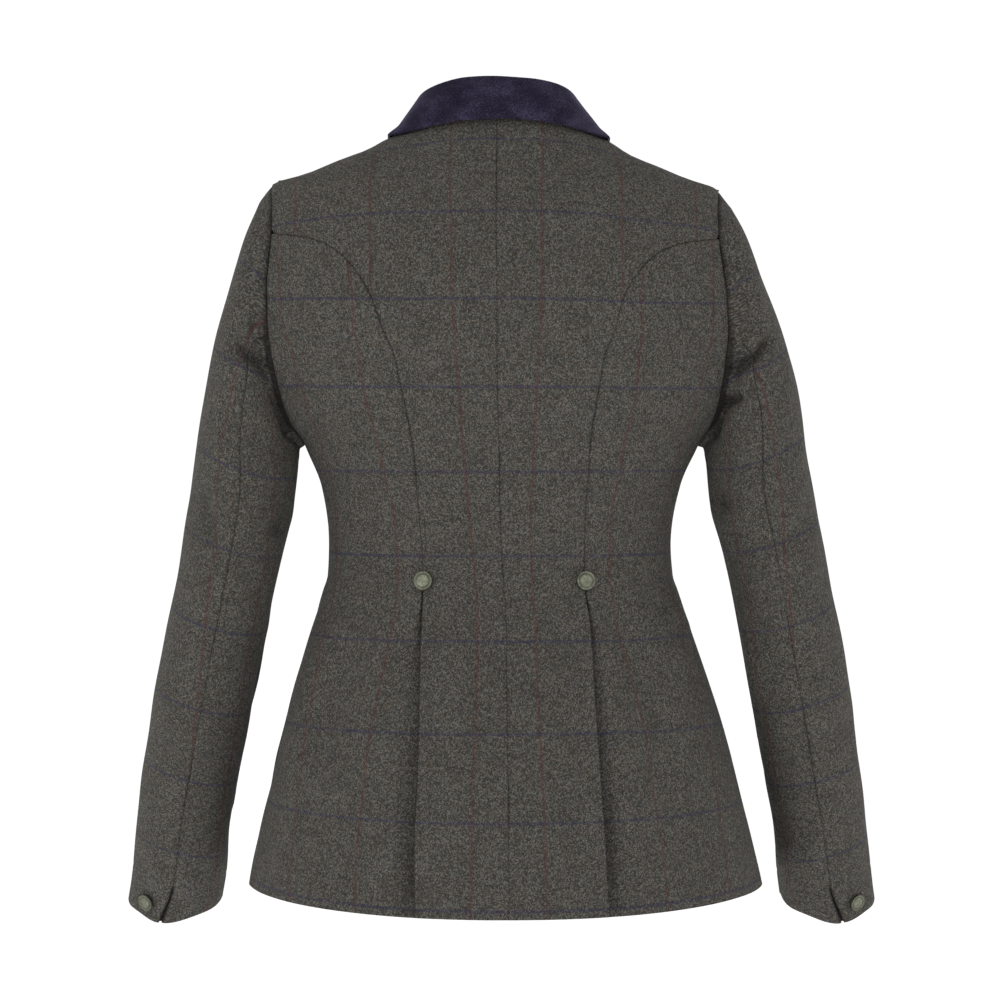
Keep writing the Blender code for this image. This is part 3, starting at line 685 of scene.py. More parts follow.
def make_centre_back(side, word):
    heights = sorted_heights(
        heights_between(NECK_HEIGHT, HEM_HEIGHT), np.linspace(-0.105, PRINCESS_TOP, 14),
        (SHOULDER_HEIGHT, SHOULDER_HEIGHT - 0.0005),
    )
    first = angle_of(side * (curve(CENTRE_SEAM, heights) - curve(BODY_LEAN, heights)), heights)
    seam = angle_of(princess_line(heights, side), heights)
    last = np.where(heights > PRINCESS_TOP, armhole_angle(heights, "back"), seam)
    h, points, normals = panel(heights, first[:, None] + (last - first)[:, None] * crowded(CENTRE_COLUMNS))
    from_seam, from_edge = edge_distances(points)
    across = from_seam + curve(CENTRE_TAKE_IN, h)
    # At the shoulders the maroon lines keep straight instead of following the centre seam
    x = points[..., 0]
    straight = x - 0.0037 + 0.51 * np.maximum(x - 0.04, 0) ** 2
    across = across + (straight - across) * ease((x - 0.12) / 0.04) * ease((h + 0.13) / 0.03)
    down = cloth_down(h, x) - over_shoulder(points)
    sewn, at_armhole = h > BUTTON_HEIGHT, h > PRINCESS_TOP
    steep = np.abs(np.gradient(points[:, -1, 0], heights))
    nearer = from_edge / np.hypot(1, steep)[:, None]
    dip = seam_dip(from_seam, depth=0.0005) + sewn * np.where(at_armhole, 0.4, 1.0) * seam_dip(nearer)
    dip = dip + 0.6 * seam_dip(NECK_HEIGHT - h, 0.002)
    # Below the button the edge is free: it lifts off a little, and its hem is pressed flat
    free = ease((BUTTON_HEIGHT - 0.006 - h) / 0.05)
    lifted = free * (0.0012 * np.exp(-from_edge / 0.010) - 0.0008 * bell(from_edge - 0.016, 0.006))
    allowance = 0.00035 * bell(from_edge - 0.009, 0.0016) * sewn * ease((-0.16 - h) / 0.1)
    folds = creased(points, normals, BODY_CREASES, side)
    move = -dip + lifted - allowance - folds + uneven(across * side, down, 1.0 + side)
    # Painted shade: the colour darkens along the armhole's edge and, below the button, the vent's free edge;
    # the lines at the centre back and princess seams are partly the seam's dark line and partly painted
    # shade.
    ditch_and_shade = 0.45 * bell(from_seam, 0.0005)
    edge_share = np.where(at_armhole, 1.0, np.where(sewn, 0.42, 0.9))
    ditch_and_shade = ditch_and_shade + edge_share * bell(nearer, np.where(at_armhole, 0.0011, 0.0006))
    cloth_map = np.stack((across, down), axis=-1)
    tweed_sheet("centre_back_" + word, side, points, normals, move, cloth_map, ditch_and_shade)


for wearer_side, side_word in SIDES:
    make_centre_back(wearer_side, side_word)

# %% [markdown]
# The side backs run from the curved princess seams to the side seams. Below the waist buttons they are not
# sewn to the centre: they sink and pass under it, and that makes the two vents and their shadows, which
# painted shade in the cloth's colour makes darker.

# %% Side backs
SIDE_COLUMNS = 64
UNDER_COLUMNS = 18
SEAM_ALLOWANCE = 0.0035  # cloth that lies hidden behind the princess seam
UNDER_DEPTH = 0.0033


def make_side_back(side, word):
    heights = sorted_heights(
        heights_between(PRINCESS_TOP, HEM_HEIGHT), np.linspace(-0.105, PRINCESS_TOP, 14),
        np.linspace(VENT_START - 0.020, BUTTON_HEIGHT + 0.002, 18),
    )
    seam_x = princess_line(heights, side)
    opened = ease((BUTTON_HEIGHT - heights) / 0.014)
    reach = SEAM_ALLOWANCE + (UNDERLAP - SEAM_ALLOWANCE) * opened
    behind = reach[:, None] * np.linspace(1, 0, UNDER_COLUMNS) ** 1.6
    hidden = angle_of(seam_x[:, None] - behind, heights[:, None])
    seam, last = angle_of(seam_x, heights), armhole_angle(heights, "back")
    seen = seam[:, None] + (last - seam)[:, None] * crowded(SIDE_COLUMNS)
    h, points, normals = panel(heights, np.concatenate((hidden, seen[:, 1:]), axis=1))
    along, from_last = edge_distances(points)
    from_seam = along - along[:, UNDER_COLUMNS - 1:UNDER_COLUMNS]
    # The rows are level and the seam slants, so the distance at right angles to it is shorter
    steep = np.abs(np.gradient(seam_x, heights))
    beyond = from_seam / np.hypot(1, np.minimum(steep, 8))[:, None]
    # The part behind the seam lies deeper, and below the button the seen part sinks to meet it
    start = ease((BUTTON_HEIGHT - h) / 0.007)
    lower = ease((VENT_START - h) / (VENT_START - HEM_HEIGHT))
    drop = UNDER_DEPTH + start * lower * (VENT_DROP_AT_HEM - UNDER_DEPTH)
    reach_out = 0.0008 + (0.0100 + 0.013 * lower) * ease((BUTTON_HEIGHT - 0.004 - h) / 0.070)
    sunk = start * drop * (1 - ease(beyond / reach_out))
    sunk = np.where(beyond < 0, drop * ease(-beyond / 0.0006 + start * 2), sunk)
    past_line = from_seam - curve(SIDE_LINE, h)
    fuller = 0.15 * ease((-0.15 - h) / 0.08) * ease((h + 0.36) / 0.08)
    across = past_line * (1 + fuller * (past_line > 0)) + MAROON_OFFSET + CHECK_WIDTH
    down = cloth_down(h, points[..., 0])
    sewn, at_armhole = h > BUTTON_HEIGHT, h > ARMHOLE_CENTRE - ARMHOLE_HALF_HEIGHT
    inside = np.maximum(beyond, 0)
    dip = seam_dip(inside) * sewn * (beyond >= 0) + seam_dip(from_last) * np.where(at_armhole, 0.4, 1.0)
    folds = creased(points, normals, BODY_CREASES, side)
    move = -dip - sunk + (uneven(across * side, down, 3.0 + side) - folds) * ease(beyond / 0.02)
    # Painted shade: below the button a wider painted shadow beside the vent, the part hidden under the centre
    # back painted dark, and the armhole's edge darker; the thin line at the princess seam above the button
    # and at the side seam is partly the seam's dark line and partly painted shade.
    ditch_and_shade = bell(inside, np.where(sewn, 0.0006, 0.0017)) * (0.38 + 0.47 * ease((BUTTON_HEIGHT - h) / 0.06))
    ditch_and_shade = ditch_and_shade + bell(from_last, 0.0012) * np.where(at_armhole, 1.0, 0.5)
    cloth_map = np.stack((across, down), axis=-1)
    tweed_sheet("side_back_" + word, side, points, normals, move, cloth_map, ditch_and_shade)


for wearer_side, side_word in SIDES:
    make_side_back(wearer_side, side_word)

# %% [markdown]
# The picture hides the front. A riding jacket closes there with three buttons, its lapels are notched under
# the collar, and its hems are cut away in a curve, so the fronts are made plainly that way.

# %% Fronts
FRONT_COLUMNS = 80
DART = 0.088  # distance from the middle
FRONT_BUTTON_HEIGHTS = (-0.228, -0.302, BUTTON_HEIGHT)


def make_front(side, word):
    heights = sorted_heights(
        heights_between(NECK_HEIGHT, HEM_HEIGHT, 0.0046), np.linspace(-0.640, -0.600, 16),
        (SHOULDER_HEIGHT, SHOULDER_HEIGHT - 0.0005),
    )
    first = armhole_angle(heights, "front")
    last = angle_of(curve(FRONT_EDGE, heights), heights, front=True)
    h, points, normals = panel(heights, first[:, None] + (last - first)[:, None] * crowded(FRONT_COLUMNS))
    from_side, from_edge = edge_distances(points)
    # Where the front laps over, its own edge lies past the centre, so the girth tells the distance instead
    girth = arc(body_point(np.linspace(math.pi / 2, math.pi, 120), h[:, :1]))[:, -1:]
    centre = body_point(np.full_like(heights, math.pi), heights)[:, None]
    to_centre = edge_distances(np.concatenate((points, centre), axis=1))[1][:, :-1]
    laps = points[..., 0].min(1, keepdims=True) < 0
    to_middle = np.where(laps, girth - from_side, to_centre)
    down = cloth_down(h, points[..., 0]) - over_shoulder(points)
    off_armhole = (h < ARMHOLE_CENTRE - ARMHOLE_HALF_HEIGHT) | (h > SHOULDER_HEIGHT)
    dip = seam_dip(from_side) * np.where(off_armhole, 1.0, 0.4) + 0.4 * seam_dip(from_edge, 0.0012)
    from_dart = points[..., 0] - DART
    dart = 0.0009 * bell(from_dart, 0.0018) * ease((h + 0.46) / 0.05) * ease((-0.245 - h) / 0.05)
    under = LAP_DROP * (1 - ease((points[..., 0] - FRONT_LAP - 0.002) / 0.014)) * (side > 0)
    folds = creased(points, normals, FRONT_CREASES, side, -1)
    move = -dip - under - folds - dart + uneven(to_middle * side, down, 5.0 + side)
    # Painted shade along the armhole, and a darker line at the side seam and the dart, partly the seam's dark
    # line and partly painted shade.
    ditch_and_shade = bell(from_side, 0.0009) * np.where(off_armhole, 0.55, 1.0)
    ditch_and_shade = ditch_and_shade + 0.55 * bell(from_dart, 0.0009) * (dart > 0.0004)
    cloth_map = np.stack((to_middle + MAROON_OFFSET, down), axis=-1)
    tweed_sheet("front_" + word, side, points, normals, move, cloth_map, ditch_and_shade)


# %% Lapels
# Height of the fold, then height and distance from the middle of the outer edge
LAPEL = metres(
    (-186, -188, 14), (-176, -179, 32), (-160, -163, 49), (-135, -139, 68), (-110, -115, 83),
    (-90, -96, 93.5), (-70, -80, 102), (-55, -71, 107), (-42.5, -65, 109),
)


def make_lapel(side, word):
    fold, edge_height, edge_x = np.array(LAPEL).T
    rows = np.linspace(fold[0], fold[-1], 60)[:, None]
    share = crowded(40, 0.7)
    heights = rows + (curve(np.stack((fold, edge_height), axis=1), rows) - rows) * share
    fold_x = curve(FRONT_EDGE, rows)
    across = fold_x + (curve(np.stack((fold, edge_x), axis=1), rows) - fold_x) * share
    angles = angle_of(across, heights, front=True)
    points, normals = body_point(angles, heights), body_normal(angles, heights)
    from_fold, from_edge = edge_distances(points)
    cloth_map = np.stack((from_fold + 0.012, cloth_down(heights, points[..., 0])), axis=-1)
    rolled = 0.0012 * np.exp(-from_fold / 0.004)
    full = 0.0012 * np.sin(np.pi * np.clip(from_fold / 0.05, 0, 1))
    move = LAPEL_LIFT + full - rolled - 0.5 * seam_dip(from_edge, 0.0012)
    tweed_sheet("lapel_" + word, side, points, normals, move, cloth_map)


for wearer_side, side_word in SIDES:
    make_front(wearer_side, side_word)
    make_lapel(wearer_side, side_word)

# %% [markdown]
# A tailored sleeve has two pieces, and it bends forwards at the elbow. Its rings run from the armhole to
# the cuff, each tilted a little more than the last. Turn 0 is the outermost line of the arm, +90 degrees
# its back. The back seam opens at the cuff into a slit.

# %% Sleeve rings
# Outer edge sideways and height, inner edge sideways and height, half depth, depth of the ring's centre
SLEEVE = metres(
    (199.5, -62, 171.2, -269.4, 58, 0), (209.5, -83, 171.7, -270.2, 60, 0),
    (221.5, -117, 172, -271.2, 62, 0), (232.5, -152, 172.3, -272.4, 64, 0),
    (241.5, -185, 172.6, -274, 65, 0), (249, -217, 172.8, -276.5, 65.5, 0),
    (255, -248, 173.5, -281.5, 65.5, 1), (260, -281, 174.5, -292, 64.5, 2),
    (264, -307, 177.5, -321, 62, 3), (270.8, -345, 186.6, -359, 58, 4),
    (278.3, -383.5, 195.4, -397.5, 54.5, 3), (285.9, -422, 203.4, -436, 52, -1),
    (293.4, -460.5, 210.2, -475, 50, -7), (300.7, -500, 218.2, -514, 48, -16),
    (307.1, -540, 226.8, -554, 46, -28), (313.5, -581, 234.7, -595, 44.5, -42),
    (319.9, -623.5, 239.1, -633, 43, -58), (326.2, -662, 243.1, -660, 42, -74),
)
# Angle in degrees by which each ring's back drops below its front
SLEEVE_DROP = (0, 0, 0, 0, 0, 1, 2, 3, 5, 6.5, 8, 10, 12.5, 15, 17.5, 19.5, 21.5, 23)
# Ring number, how far the ring bows outwards at its front and back
SLEEVE_BOW = ((0, 0.018), (1, 0.0185), (2, 0.017), (4, 0.010), (6, 0.006), (9, 0.0), (18, 0.0))
# Ring number, angle of a seam round the sleeve in degrees
BACK_SEAM_ANGLE = ((0, 99.1), (4, 94.0), (8, 92.0), (12, 93.0), (15, 91.0), (17, 88.0), (18, 77.0))
FRONT_SEAM_ANGLE = ((0, -113.4), (8, -115.0), (18, -115.0))
SLIT_START = 16.9
SLIT_HALF_WIDTH = 0.0013
LAST_RING = len(SLEEVE)
# Cloth from turn 0 to the nearest maroon line, on each side's top sleeve
TOP_SLEEVE_LINE = {1: 0.0, -1: 0.060}
# Heights where navy lines 8 to -1 cross the middle of the arm
SLEEVE_NAVY = {
    1: (-0.678, -0.609, -0.5445, -0.482, -0.413, -0.3465, -0.28, -0.201, -0.124, -0.05),
    -1: (-0.68, -0.613, -0.545, -0.48, -0.41, -0.342, -0.2725, -0.2, -0.13, -0.056),
}
# Height, how steeply a navy line rises towards the outside
SLEEVE_TILT = ((-0.68, 0.22), (-0.45, 0.26), (-0.30, 0.32), (-0.20, 0.42), (-0.06, 0.45))
# Height, sideways place and depth of the middle of the arm
ARM_AXIS = tuple(((row[1] + row[3]) / 2, (row[0] + row[2]) / 2, row[5]) for row in SLEEVE[:8:-1])
ARM_AXIS += ((-0.314, 0.2208, 0.003), (-0.06, 0.168, 0.0))
ARM_FLATNESS = 0.74  # the arm's half width as a share of its half depth


def sleeve_map(points, side):
    """Metres of cloth round the arm from its outermost line, and down from the first navy line."""
    x, y, z = points[..., 0], points[..., 1], points[..., 2]
    from_x = x - curve([(row[0], row[1]) for row in ARM_AXIS], z)
    from_y = y - curve([(row[0], row[2]) for row in ARM_AXIS], z)
    crossing = z - curve(SLEEVE_TILT, z) * from_x + 0.12 * from_y
    down = curve(list(zip(SLEEVE_NAVY[side], range(8, -2, -1))), crossing) * CHECK_HEIGHT
    half_depth = curve([((row[1] + row[3]) / 2, row[4]) for row in SLEEVE[::-1]], z)
    angle = np.arctan2(from_y / half_depth, from_x / (half_depth * ARM_FLATNESS))
    steps = np.linspace(-math.pi, math.pi, 721)
    girth = np.cumsum(np.hypot(ARM_FLATNESS * np.sin(steps), np.cos(steps))) * (steps[1] - steps[0])
    return half_depth * np.interp(angle, steps, girth - girth[360]), down


def armhole_point(turn):
    height = ARMHOLE_CENTRE + ARMHOLE_HALF_HEIGHT * np.cos(turn)
    angle = np.where(np.sin(turn) >= 0, armhole_angle(height, "back"), armhole_angle(height, "front"))
    return body_point(angle, height)


def sleeve_ring_point(number, turn):
    columns = (*zip(*SLEEVE), np.radians(SLEEVE_DROP))
    rings = range(1, LAST_RING + 1)
    columns = [curve(list(zip(rings, column)), number) for column in columns]
    outer_x, outer_z, inner_x, inner_z, half_depth, centre_y, drop = columns
    centre = np.stack(((outer_x + inner_x) / 2, centre_y, (outer_z + inner_z) / 2), axis=-1)
    across = np.stack(((outer_x - inner_x) / 2, 0 * outer_x, (outer_z - inner_z) / 2), axis=-1)
    back = np.stack((0 * drop, np.cos(drop), -np.sin(drop)), axis=-1) * half_depth[..., None]
    bow = curve(SLEEVE_BOW, number) * np.sin(turn) ** 2
    points = centre + across * np.cos(turn)[..., None] + back * np.sin(turn)[..., None]
    return points + np.stack((bow, 0 * bow, 0 * bow), axis=-1)


def sleeve_point(number, turn):
    number, turn = np.broadcast_arrays(number, turn)
    share = np.clip(number, 0, 1)[..., None]
    return armhole_point(turn) * (1 - share) + sleeve_ring_point(np.maximum(number, 1), turn) * share


def sleeve_normal(number, turn):
    number, turn = np.broadcast_arrays(np.asarray(number, float), turn)
    step = 1e-3
    around = sleeve_point(number, turn + step) - sleeve_point(number, turn - step)
    down = sleeve_point(number + step, turn) - sleeve_point(np.maximum(number - step, 0), turn)
    return unit(np.cross(down, around))


def sleeve_seam(number, which):
    """The angle of a seam's edge on each ring, and how far the slit turns it back."""
    turn = np.radians(curve(BACK_SEAM_ANGLE if which == "back" else FRONT_SEAM_ANGLE, number))
    step = 1e-3
    moved = sleeve_point(number, turn + step) - sleeve_point(number, turn - step)
    speed = np.linalg.norm(moved, axis=-1) / (2 * step)
    open_part = np.clip((number - SLIT_START) / (LAST_RING - SLIT_START), 0, 1) * (which == "back")
    return turn, SLIT_HALF_WIDTH * open_part / speed, speed


# %% Sleeves
SLIT_UNDERLAP = 0.012
SLEEVE_ROWS = 175
HIDDEN_COLUMNS = 12  # of the under sleeve, behind the back seam
HIDDEN_DEPTH = 0.0032
HIDDEN_WIDTH = 0.0030  # above the slit
RING_SPACING = 0.038  # at the cuff
SETTLED_RING = 1.7  # where the cloth round the armhole hangs freely
ARM_GIRTH = 2 * math.pi * 0.054
UNDER_SLEEVE_LINE = 0.033  # from the back seam to the first maroon line


def degrees_of(turn):
    """The angle round the sleeve in degrees, from -180 to 180."""
    return np.degrees(np.mod(turn + math.pi, 2 * math.pi) - math.pi)


def hem_point(turn):
    """How far the cuff's edge hangs below its ring: it dips to a blunt point beside the slit."""
    degrees = degrees_of(turn)
    point = 0.0030 * bell(degrees - 80, 24) - 0.0016 * bell(degrees - 42, 18)
    return point - 0.0012 * bell(degrees - 125, 20)


def sleeve_cloth(points, side, hidden, number, turn):
    """The map of a sleeve piece: low round the armhole it follows the cloth's length, not the height."""
    across, down = sleeve_map(points, side)
    if hidden:
        at_seam = across[:, hidden:hidden + 1]
        across = np.mod(across - at_seam + 0.05, ARM_GIRTH) - 0.05 + UNDER_SLEEVE_LINE + MAROON_OFFSET
    else:
        across = across + TOP_SLEEVE_LINE[side] + MAROON_OFFSET
    row = int(np.searchsorted(number, SETTLED_RING))
    low = ease((np.abs(degrees_of(turn)) - 50) / 35)[:row]
    lengths = np.linalg.norm(np.diff(points[:row + 1], axis=0), axis=-1)[::-1].cumsum(0)[::-1]
    down[:row] += low * (down[row] - lengths - down[:row])
    across[:row] += low * (across[row] - across[:row])
    return across, down


def make_sleeve_piece(name, side, first, last, columns):
    number = np.concatenate((np.linspace(0, 1, 5)[:-1], np.linspace(1, LAST_RING, SLEEVE_ROWS - 4)))
    begin, begin_gap, begin_speed = sleeve_seam(number, first)
    end, end_gap, _ = sleeve_seam(number, last)
    if first == "back":
        end = end + 2 * math.pi
    begin, end = begin + begin_gap, end - end_gap
    turn = begin[:, None] + (end - begin)[:, None] * crowded(columns, 0.8)
    hidden = HIDDEN_COLUMNS if first == "back" else 0
    if hidden:
        reach = HIDDEN_WIDTH + (SLIT_UNDERLAP - HIDDEN_WIDTH) * ease((number - SLIT_START + 0.5) / 0.5)
        under = begin[:, None] - (reach / begin_speed)[:, None] * np.linspace(1, 0, hidden + 1)[:-1] ** 1.5
        turn = np.concatenate((under, turn), axis=1)
    ring = np.broadcast_to(number[:, None], turn.shape)
    points, normals = sleeve_point(ring, turn), sleeve_normal(np.maximum(ring, 0.05), turn)
    lowered = hem_point(turn) * ease((ring - LAST_RING + 1.4) / 1.4)
    points = points - np.stack((-0.15 * lowered, 0.38 * lowered, lowered), axis=-1)
    across, down = sleeve_cloth(points, side, hidden, number, turn)
    along, from_last = edge_distances(points)
    from_first = along - along[:, hidden:hidden + 1]
    inside = np.maximum(from_first, 0)
    tucked = HIDDEN_DEPTH * ease(-from_first / 0.0006)
    dip = seam_dip(inside, 0.0014) * (from_first >= 0) + seam_dip(from_last, 0.0014)
    # The sleeve is set in under the armhole's edge, deepest low at the back
    low_back = ease((np.degrees(turn) - 78) / 30) * ease((175 - np.degrees(turn)) / 20)
    set_in = 0.0005 * bell(ring, 0.16) + 0.0050 * low_back * bell(ring, 1.3) * ease(ring / 0.12)
    here, other = (LEFT_SLEEVE_CREASES, RIGHT_SLEEVE_CREASES)[::side]
    behind = creased(points, normals, here, side)
    before = creased(points, normals, other, -side, -1)
    settled = ease(ring)
    hem = 0.0003 * bell((LAST_RING - ring) * RING_SPACING - 0.030, 0.0016)
    move = -dip - tucked - set_in - (behind + 0.8 * before) * settled - hem
    move = move + 1.3 * uneven(across * side, down, 7.0 + side) * settled * (from_first >= 0)
    # Painted shade: a dark wedge round the armhole, widest low at the back, painted shadow in the deepest
    # creases, and the slit painted dark; the lines at the seams are partly the seam's dark line and partly
    # painted shade.
    ditch_and_shade = 0.95 * np.exp(-((ring / (0.12 + 0.24 * low_back)) ** 4))
    ditch_and_shade = ditch_and_shade + 0.62 * np.clip(behind / 0.0070, 0, 1) ** 2
    for which, distance in ((first, inside), (last, from_last)):
        in_slit = (ring > SLIT_START + 0.2) & (which == "back")
        ditch_and_shade = ditch_and_shade + np.where(in_slit, 1.0, 0.25) * bell(distance, np.where(in_slit, 0.0016, 0.0008))
    tweed_sheet(name, side, points, normals, move, np.stack((across, down), axis=-1), ditch_and_shade)


for wearer_side, side_word in SIDES:
    make_sleeve_piece("top_sleeve_" + side_word, wearer_side, "front", "back", 96)
    make_sleeve_piece("under_sleeve_" + side_word, wearer_side, "back", "front", 70)

# %% [markdown]
# The collar is one folded piece: its stand rises from the neck's seam, rolls over, and falls back down on
# the outside. In front it follows the lapel's line down to the notch.

# %% Collar
# Angle round the neck in degrees (or None on the fronts' edges) and height of its seam, stand height, inward
# lean, how far the stand follows the body, then its outer edge's distance from the middle, height and lift,
# and its fullness
COLLAR = (
    (0.0, 0.006, 0.0285, 0.05, 0.0, 0.000, -0.0050, 0.0085, 0.0035),
    (18.0, 0.006, 0.0283, 0.07, 0.0, 0.028, -0.0055, 0.0078, 0.0034),
    (36.0, 0.006, 0.0270, 0.10, 0.0, 0.053, -0.0070, 0.0062, 0.0028),
    (54.0, 0.006, 0.0252, 0.20, 0.0, 0.0740, -0.0085, 0.0042, 0.0016),
    (72.0, 0.006, 0.0225, 0.34, 0.05, 0.0880, -0.0092, 0.0040, 0.0006),
    (90.0, 0.006, 0.0200, 0.42, 0.1, 0.0922, -0.0092, 0.0042, 0.0004),
    (None, 0.006, 0.0172, 0.42, 0.3, 0.0932, -0.0158, 0.0048, 0.0008),
    (None, -0.010, 0.0135, 0.20, 0.7, 0.0960, -0.0270, 0.0050, 0.0006),
    (None, -0.025, 0.0105, 0.00, 1.0, 0.0955, -0.0400, 0.0040, 0.0010),
    (None, -0.0395, 0.0085, 0.00, 1.0, 0.0915, -0.0525, 0.0034, 0.0010),
)
COLLAR_CLEARANCE = 0.0007
COLLAR_ROWS, COLLAR_COLUMNS = 220, 64
ON_ROLL, MID_FALL = 24, 40  # columns
COLLAR_NARROWING = 0.043  # share by which the collar is narrower above the neck's seam
# Points of the roll: distance outwards, distance below the stand's top
COLLAR_ROLL = metres((-2.5, 3), (-1.4, 0.8), (0.6, 0), (2.6, 1), (3.7, 3.4))


def collar_station(row):
    """The seam's point, outward and upward directions of one station of the collar's left half."""
    degrees, height, _, lean, follow = row[:5]
    step = 1e-4

    def seam_point(shift):
        if degrees is None:
            h = np.float64(height - shift)
            return body_point(angle_of(curve(FRONT_EDGE, h), h, front=True), h)
        return body_point(math.radians(degrees) + shift * 12, height)

    along = unit(seam_point(step) - seam_point(-step))
    if degrees is None:
        angle = angle_of(curve(FRONT_EDGE, height), height, front=True)
    else:
        angle = math.radians(degrees)
    normal = body_normal(angle, height)
    flat = unit(normal * (1, 1, 0))
    up = unit((1 - follow) * (np.array((0, 0, 1.0)) - lean * flat) + follow * normal)
    up = unit(up - along * (up @ along))
    out = np.cross(up, along)
    if out @ flat < 0:
        out = -out
    return seam_point(0.0) + (up - out * follow) * COLLAR_CLEARANCE, out, up


def collar_profile(row):
    stand, (edge_x, edge_height, edge_lift, bulge) = row[2], row[5:]
    seam, out, up = collar_station(row)
    profile = [seam - out * CLOTH, seam - out * 0.0021 + up * stand * 0.35]
    profile += [seam + out * a + up * (stand - b) for a, b in COLLAR_ROLL]
    angle = angle_of(edge_x, edge_height, row[0] is None)
    edge = body_point(angle, edge_height) + body_normal(angle, edge_height) * edge_lift
    normal = body_normal(angle, edge_height)
    start = profile[-1]
    falls = (start + (edge - start) * t + normal * 4 * t * (1 - t) * bulge for t in (0.25, 0.5, 0.75, 1.0))
    return np.array([*profile, *falls])


def smooth_through(grid, axis, count):
    """A finer grid through the rows of another one."""
    grid = np.moveaxis(grid, axis, 0)
    steps = np.linalg.norm(np.diff(grid, axis=0), axis=-1).mean(axis=1)
    place = np.concatenate(([0], np.cumsum(steps)))
    fine = np.linspace(0, place[-1], count)
    flat = grid.reshape(len(grid), -1)
    out = np.stack([curve(np.stack((place, column), axis=1), fine) for column in flat.T], axis=1)
    return np.moveaxis(out.reshape(count, *grid.shape[1:]), 0, axis)


def make_collar():
    half = [collar_profile(row) for row in COLLAR]
    grid = np.array([points * (-1, 1, 1) for points in half[:0:-1]] + half)
    grid = smooth_through(smooth_through(grid, 1, COLLAR_COLUMNS), 0, COLLAR_ROWS)
    nape = COLLAR_ROWS // 2
    normals = unit(np.cross(np.gradient(grid, axis=0), np.gradient(grid, axis=1)))
    if normals[nape, ON_ROLL] @ np.array((0, 0.3, 1.0)) < 0:
        normals = -normals
    across = arc(grid)
    along = arc(np.moveaxis(grid, 0, 1)).T
    middle = along[:, MID_FALL:MID_FALL + 1] - along[nape, MID_FALL]
    cloth_map = np.stack((np.broadcast_to(middle, across.shape), across), axis=-1)
    wave = 0.0004 * np.sin(middle * 70) * ease(across / 0.03)
    thin = 0.0005 * np.exp(-(across[:, -1:] - across) / 0.002)
    grid = grid + normals * (wave - thin)[..., None]
    grid[..., 0] *= 1 - COLLAR_NARROWING * ease((grid[..., 2] + 0.006) / 0.010)
    cloth_sheet("collar", grid, cloth_map, normals, velvet)


make_collar()

# %% [markdown]
# The buttons are cast pewter with a raised rim and a low dome. One is modelled from a cylinder, its top inset
# and moved in the listed steps, and the other six are copies in two more sizes.

# %% One button
BUTTON_RADIUS = {"back": 0.0079, "cuff": 0.0074, "front": 0.0095}
BACK_BUTTON_DROP = 0.0022  # the waist buttons hang a little below the seam's end
MASTER_RADIUS = 0.008
# From the rim inwards: width of each step and how far it rises
BUTTON_STEPS = metres((0.9, 0.5), (0.7, 0), (0.6, -0.7), (1.0, -0.1), (1.6, 0.5), (1.4, 0.3))
CUFF_BUTTON_RING = 17.6
CUFF_BUTTON_ANGLE = 57.0


def flat_faces_at(mesh, height):
    """Selects the faces that look up at this height."""
    for polygon in mesh.polygons:
        polygon.select = polygon.normal.z > 0.9 and abs(polygon.center.z - height) < 1e-5


def model_button():
    """A button that stands on the plane z = 0."""
    clear_selection()
    bpy.ops.mesh.primitive_cylinder_add(
        vertices=64, radius=MASTER_RADIUS, depth=0.0022, location=(0, 0, 0.0018),
    )
    button = bpy.context.object
    button.name = "button_master"
    bpy.ops.object.transform_apply(location=True, rotation=False, scale=False)
    top = 0.0029
    for thickness, rise in BUTTON_STEPS:
        flat_faces_at(button.data, top)
        bpy.ops.object.mode_set(mode="EDIT")
        bpy.ops.mesh.select_mode(type="FACE")
        bpy.ops.mesh.inset(thickness=thickness, depth=0)
        bpy.ops.transform.translate(value=(0, 0, rise))
        bpy.ops.object.mode_set(mode="OBJECT")
        top += rise
    soft = button.modifiers.new("soft", "BEVEL")
    soft.width = 0.00025
    soft.segments = 2
    soft.angle_limit = math.radians(35)
    finish_modifiers(button)
    spots = np.empty(len(button.data.vertices) * 3, np.float32)
    button.data.vertices.foreach_get("co", spots)
    from_axis = np.hypot(*spots.reshape(-1, 3)[:, :2].T)
    grooves = bell(from_axis - 0.0055, 0.0005) + bell(from_axis - 0.0026, 0.0005)
    # The grooves darken with patina; the band beyond the rim, on the button's outer edge, gets painted shade.
    darken(button, grooves + 0.8 * (from_axis > 0.0078))
    button.data.materials.append(pewter)
    return button


button_master = model_button()
print("button points", len(button_master.data.vertices))


# %% Seven buttons
def place_button(name, kind, point, normal):
    clear_selection()
    button = button_master.copy()
    button.data = button_master.data.copy()
    button.name = name + "_cast"
    button.data.name = button.name
    bpy.context.scene.collection.objects.link(button)
    scale = BUTTON_RADIUS[kind] / MASTER_RADIUS
    turn = Vector(normal).to_track_quat("Z", "Y").to_matrix().to_4x4()
    point = leaned(point, kind == "cuff")
    place = Matrix.Translation(Vector(point + normal * BUTTON_GAP))
    button.data.transform(place @ turn @ Matrix.Diagonal((scale, scale, 1, 1)))
    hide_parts(name)
    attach(button, "root")
    return button


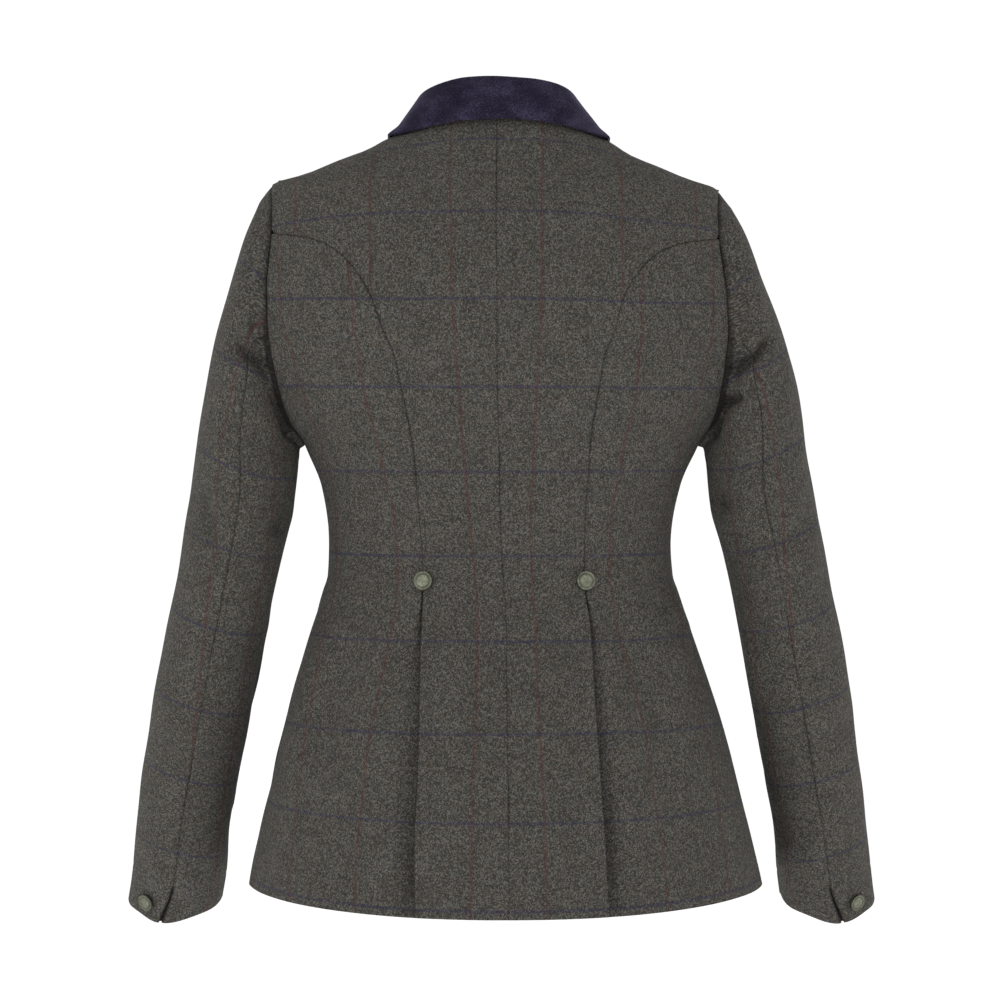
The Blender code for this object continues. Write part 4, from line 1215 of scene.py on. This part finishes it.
def place_buttons():
    for side, word in SIDES:
        flip = (side, 1, 1)
        angle = angle_of(curve(PRINCESS_SEAM[side], BUTTON_HEIGHT), BUTTON_HEIGHT)
        point, normal = body_point(angle, BUTTON_HEIGHT), body_normal(angle, BUTTON_HEIGHT)
        place_button("back_button_" + word, "back", point * flip - (0, 0, BACK_BUTTON_DROP), normal * flip)
        turn = math.radians(CUFF_BUTTON_ANGLE)
        point, normal = sleeve_point(CUFF_BUTTON_RING, turn), sleeve_normal(CUFF_BUTTON_RING, turn)
        place_button("cuff_button_" + word, "cuff", point * flip, normal * flip)
    for count, height in enumerate(FRONT_BUTTON_HEIGHTS, 1):
        point, normal = body_point(math.pi, height), body_normal(math.pi, height)
        place_button(f"front_button_{count}", "front", point, normal)
    bpy.data.objects.remove(button_master)


place_buttons()

# %% [markdown]
# A white floor lies far below the jacket and glows a little, and a wide soft light hangs on either side.
# The air round it glows too, less from high up, and gives most of the light, so shadows stay soft; the vents
# and the armholes turn dark partly from their depth and partly from painted shade in the cloth's colour.

# %% Studio
FLOOR_HEIGHT = -1.05
FLOOR_GLOW = 0.37
AIR_STRENGTH = 1.03
# Upward share of a direction, colour of the air there
AIR = ((0.25, (1, 1, 1)), (0.9, (0.45, 0.45, 0.46)))


def make_backdrop():
    clear_selection()
    bpy.ops.mesh.primitive_plane_add(size=14, location=(0, 0, FLOOR_HEIGHT))
    floor = bpy.context.object
    floor.name = "studio_floor"
    material, tree, shader = nodes_of("studio_paper")
    white = (1, 1, 1, 1)
    fill(tree, shader, Base_Color=white, Roughness=0.9, Emission_Color=white, Emission_Strength=FLOOR_GLOW)
    floor.data.materials.append(material)


def make_light(name, location, size, energy, target):
    clear_selection()
    bpy.ops.object.light_add(type="AREA", location=location)
    light = bpy.context.object
    light.name = name
    light.data.size = size
    light.data.energy = energy
    aim = Vector(target) - Vector(location)
    light.rotation_euler = aim.to_track_quat("-Z", "Y").to_euler()


make_backdrop()
middle_of_jacket = (0, 0, -0.3)
make_light("key", (2.2, 2.6, 0.3), 1.6, 12, middle_of_jacket)
make_light("fill", (-1.9, 2.4, 0.2), 1.8, 3, middle_of_jacket)
world = bpy.data.worlds.new("studio_air")
world.use_nodes = True
air = world.node_tree
direction = new_node(air, "TexCoord").outputs["Generated"]
upright = new_node(air, "SeparateXYZ", Vector=direction).outputs[2]
fill(air, air.nodes["Background"], Color=ramp(air, upright, AIR), Strength=AIR_STRENGTH)
bpy.context.scene.world = world
bpy.context.scene.view_settings.view_transform = "Standard"
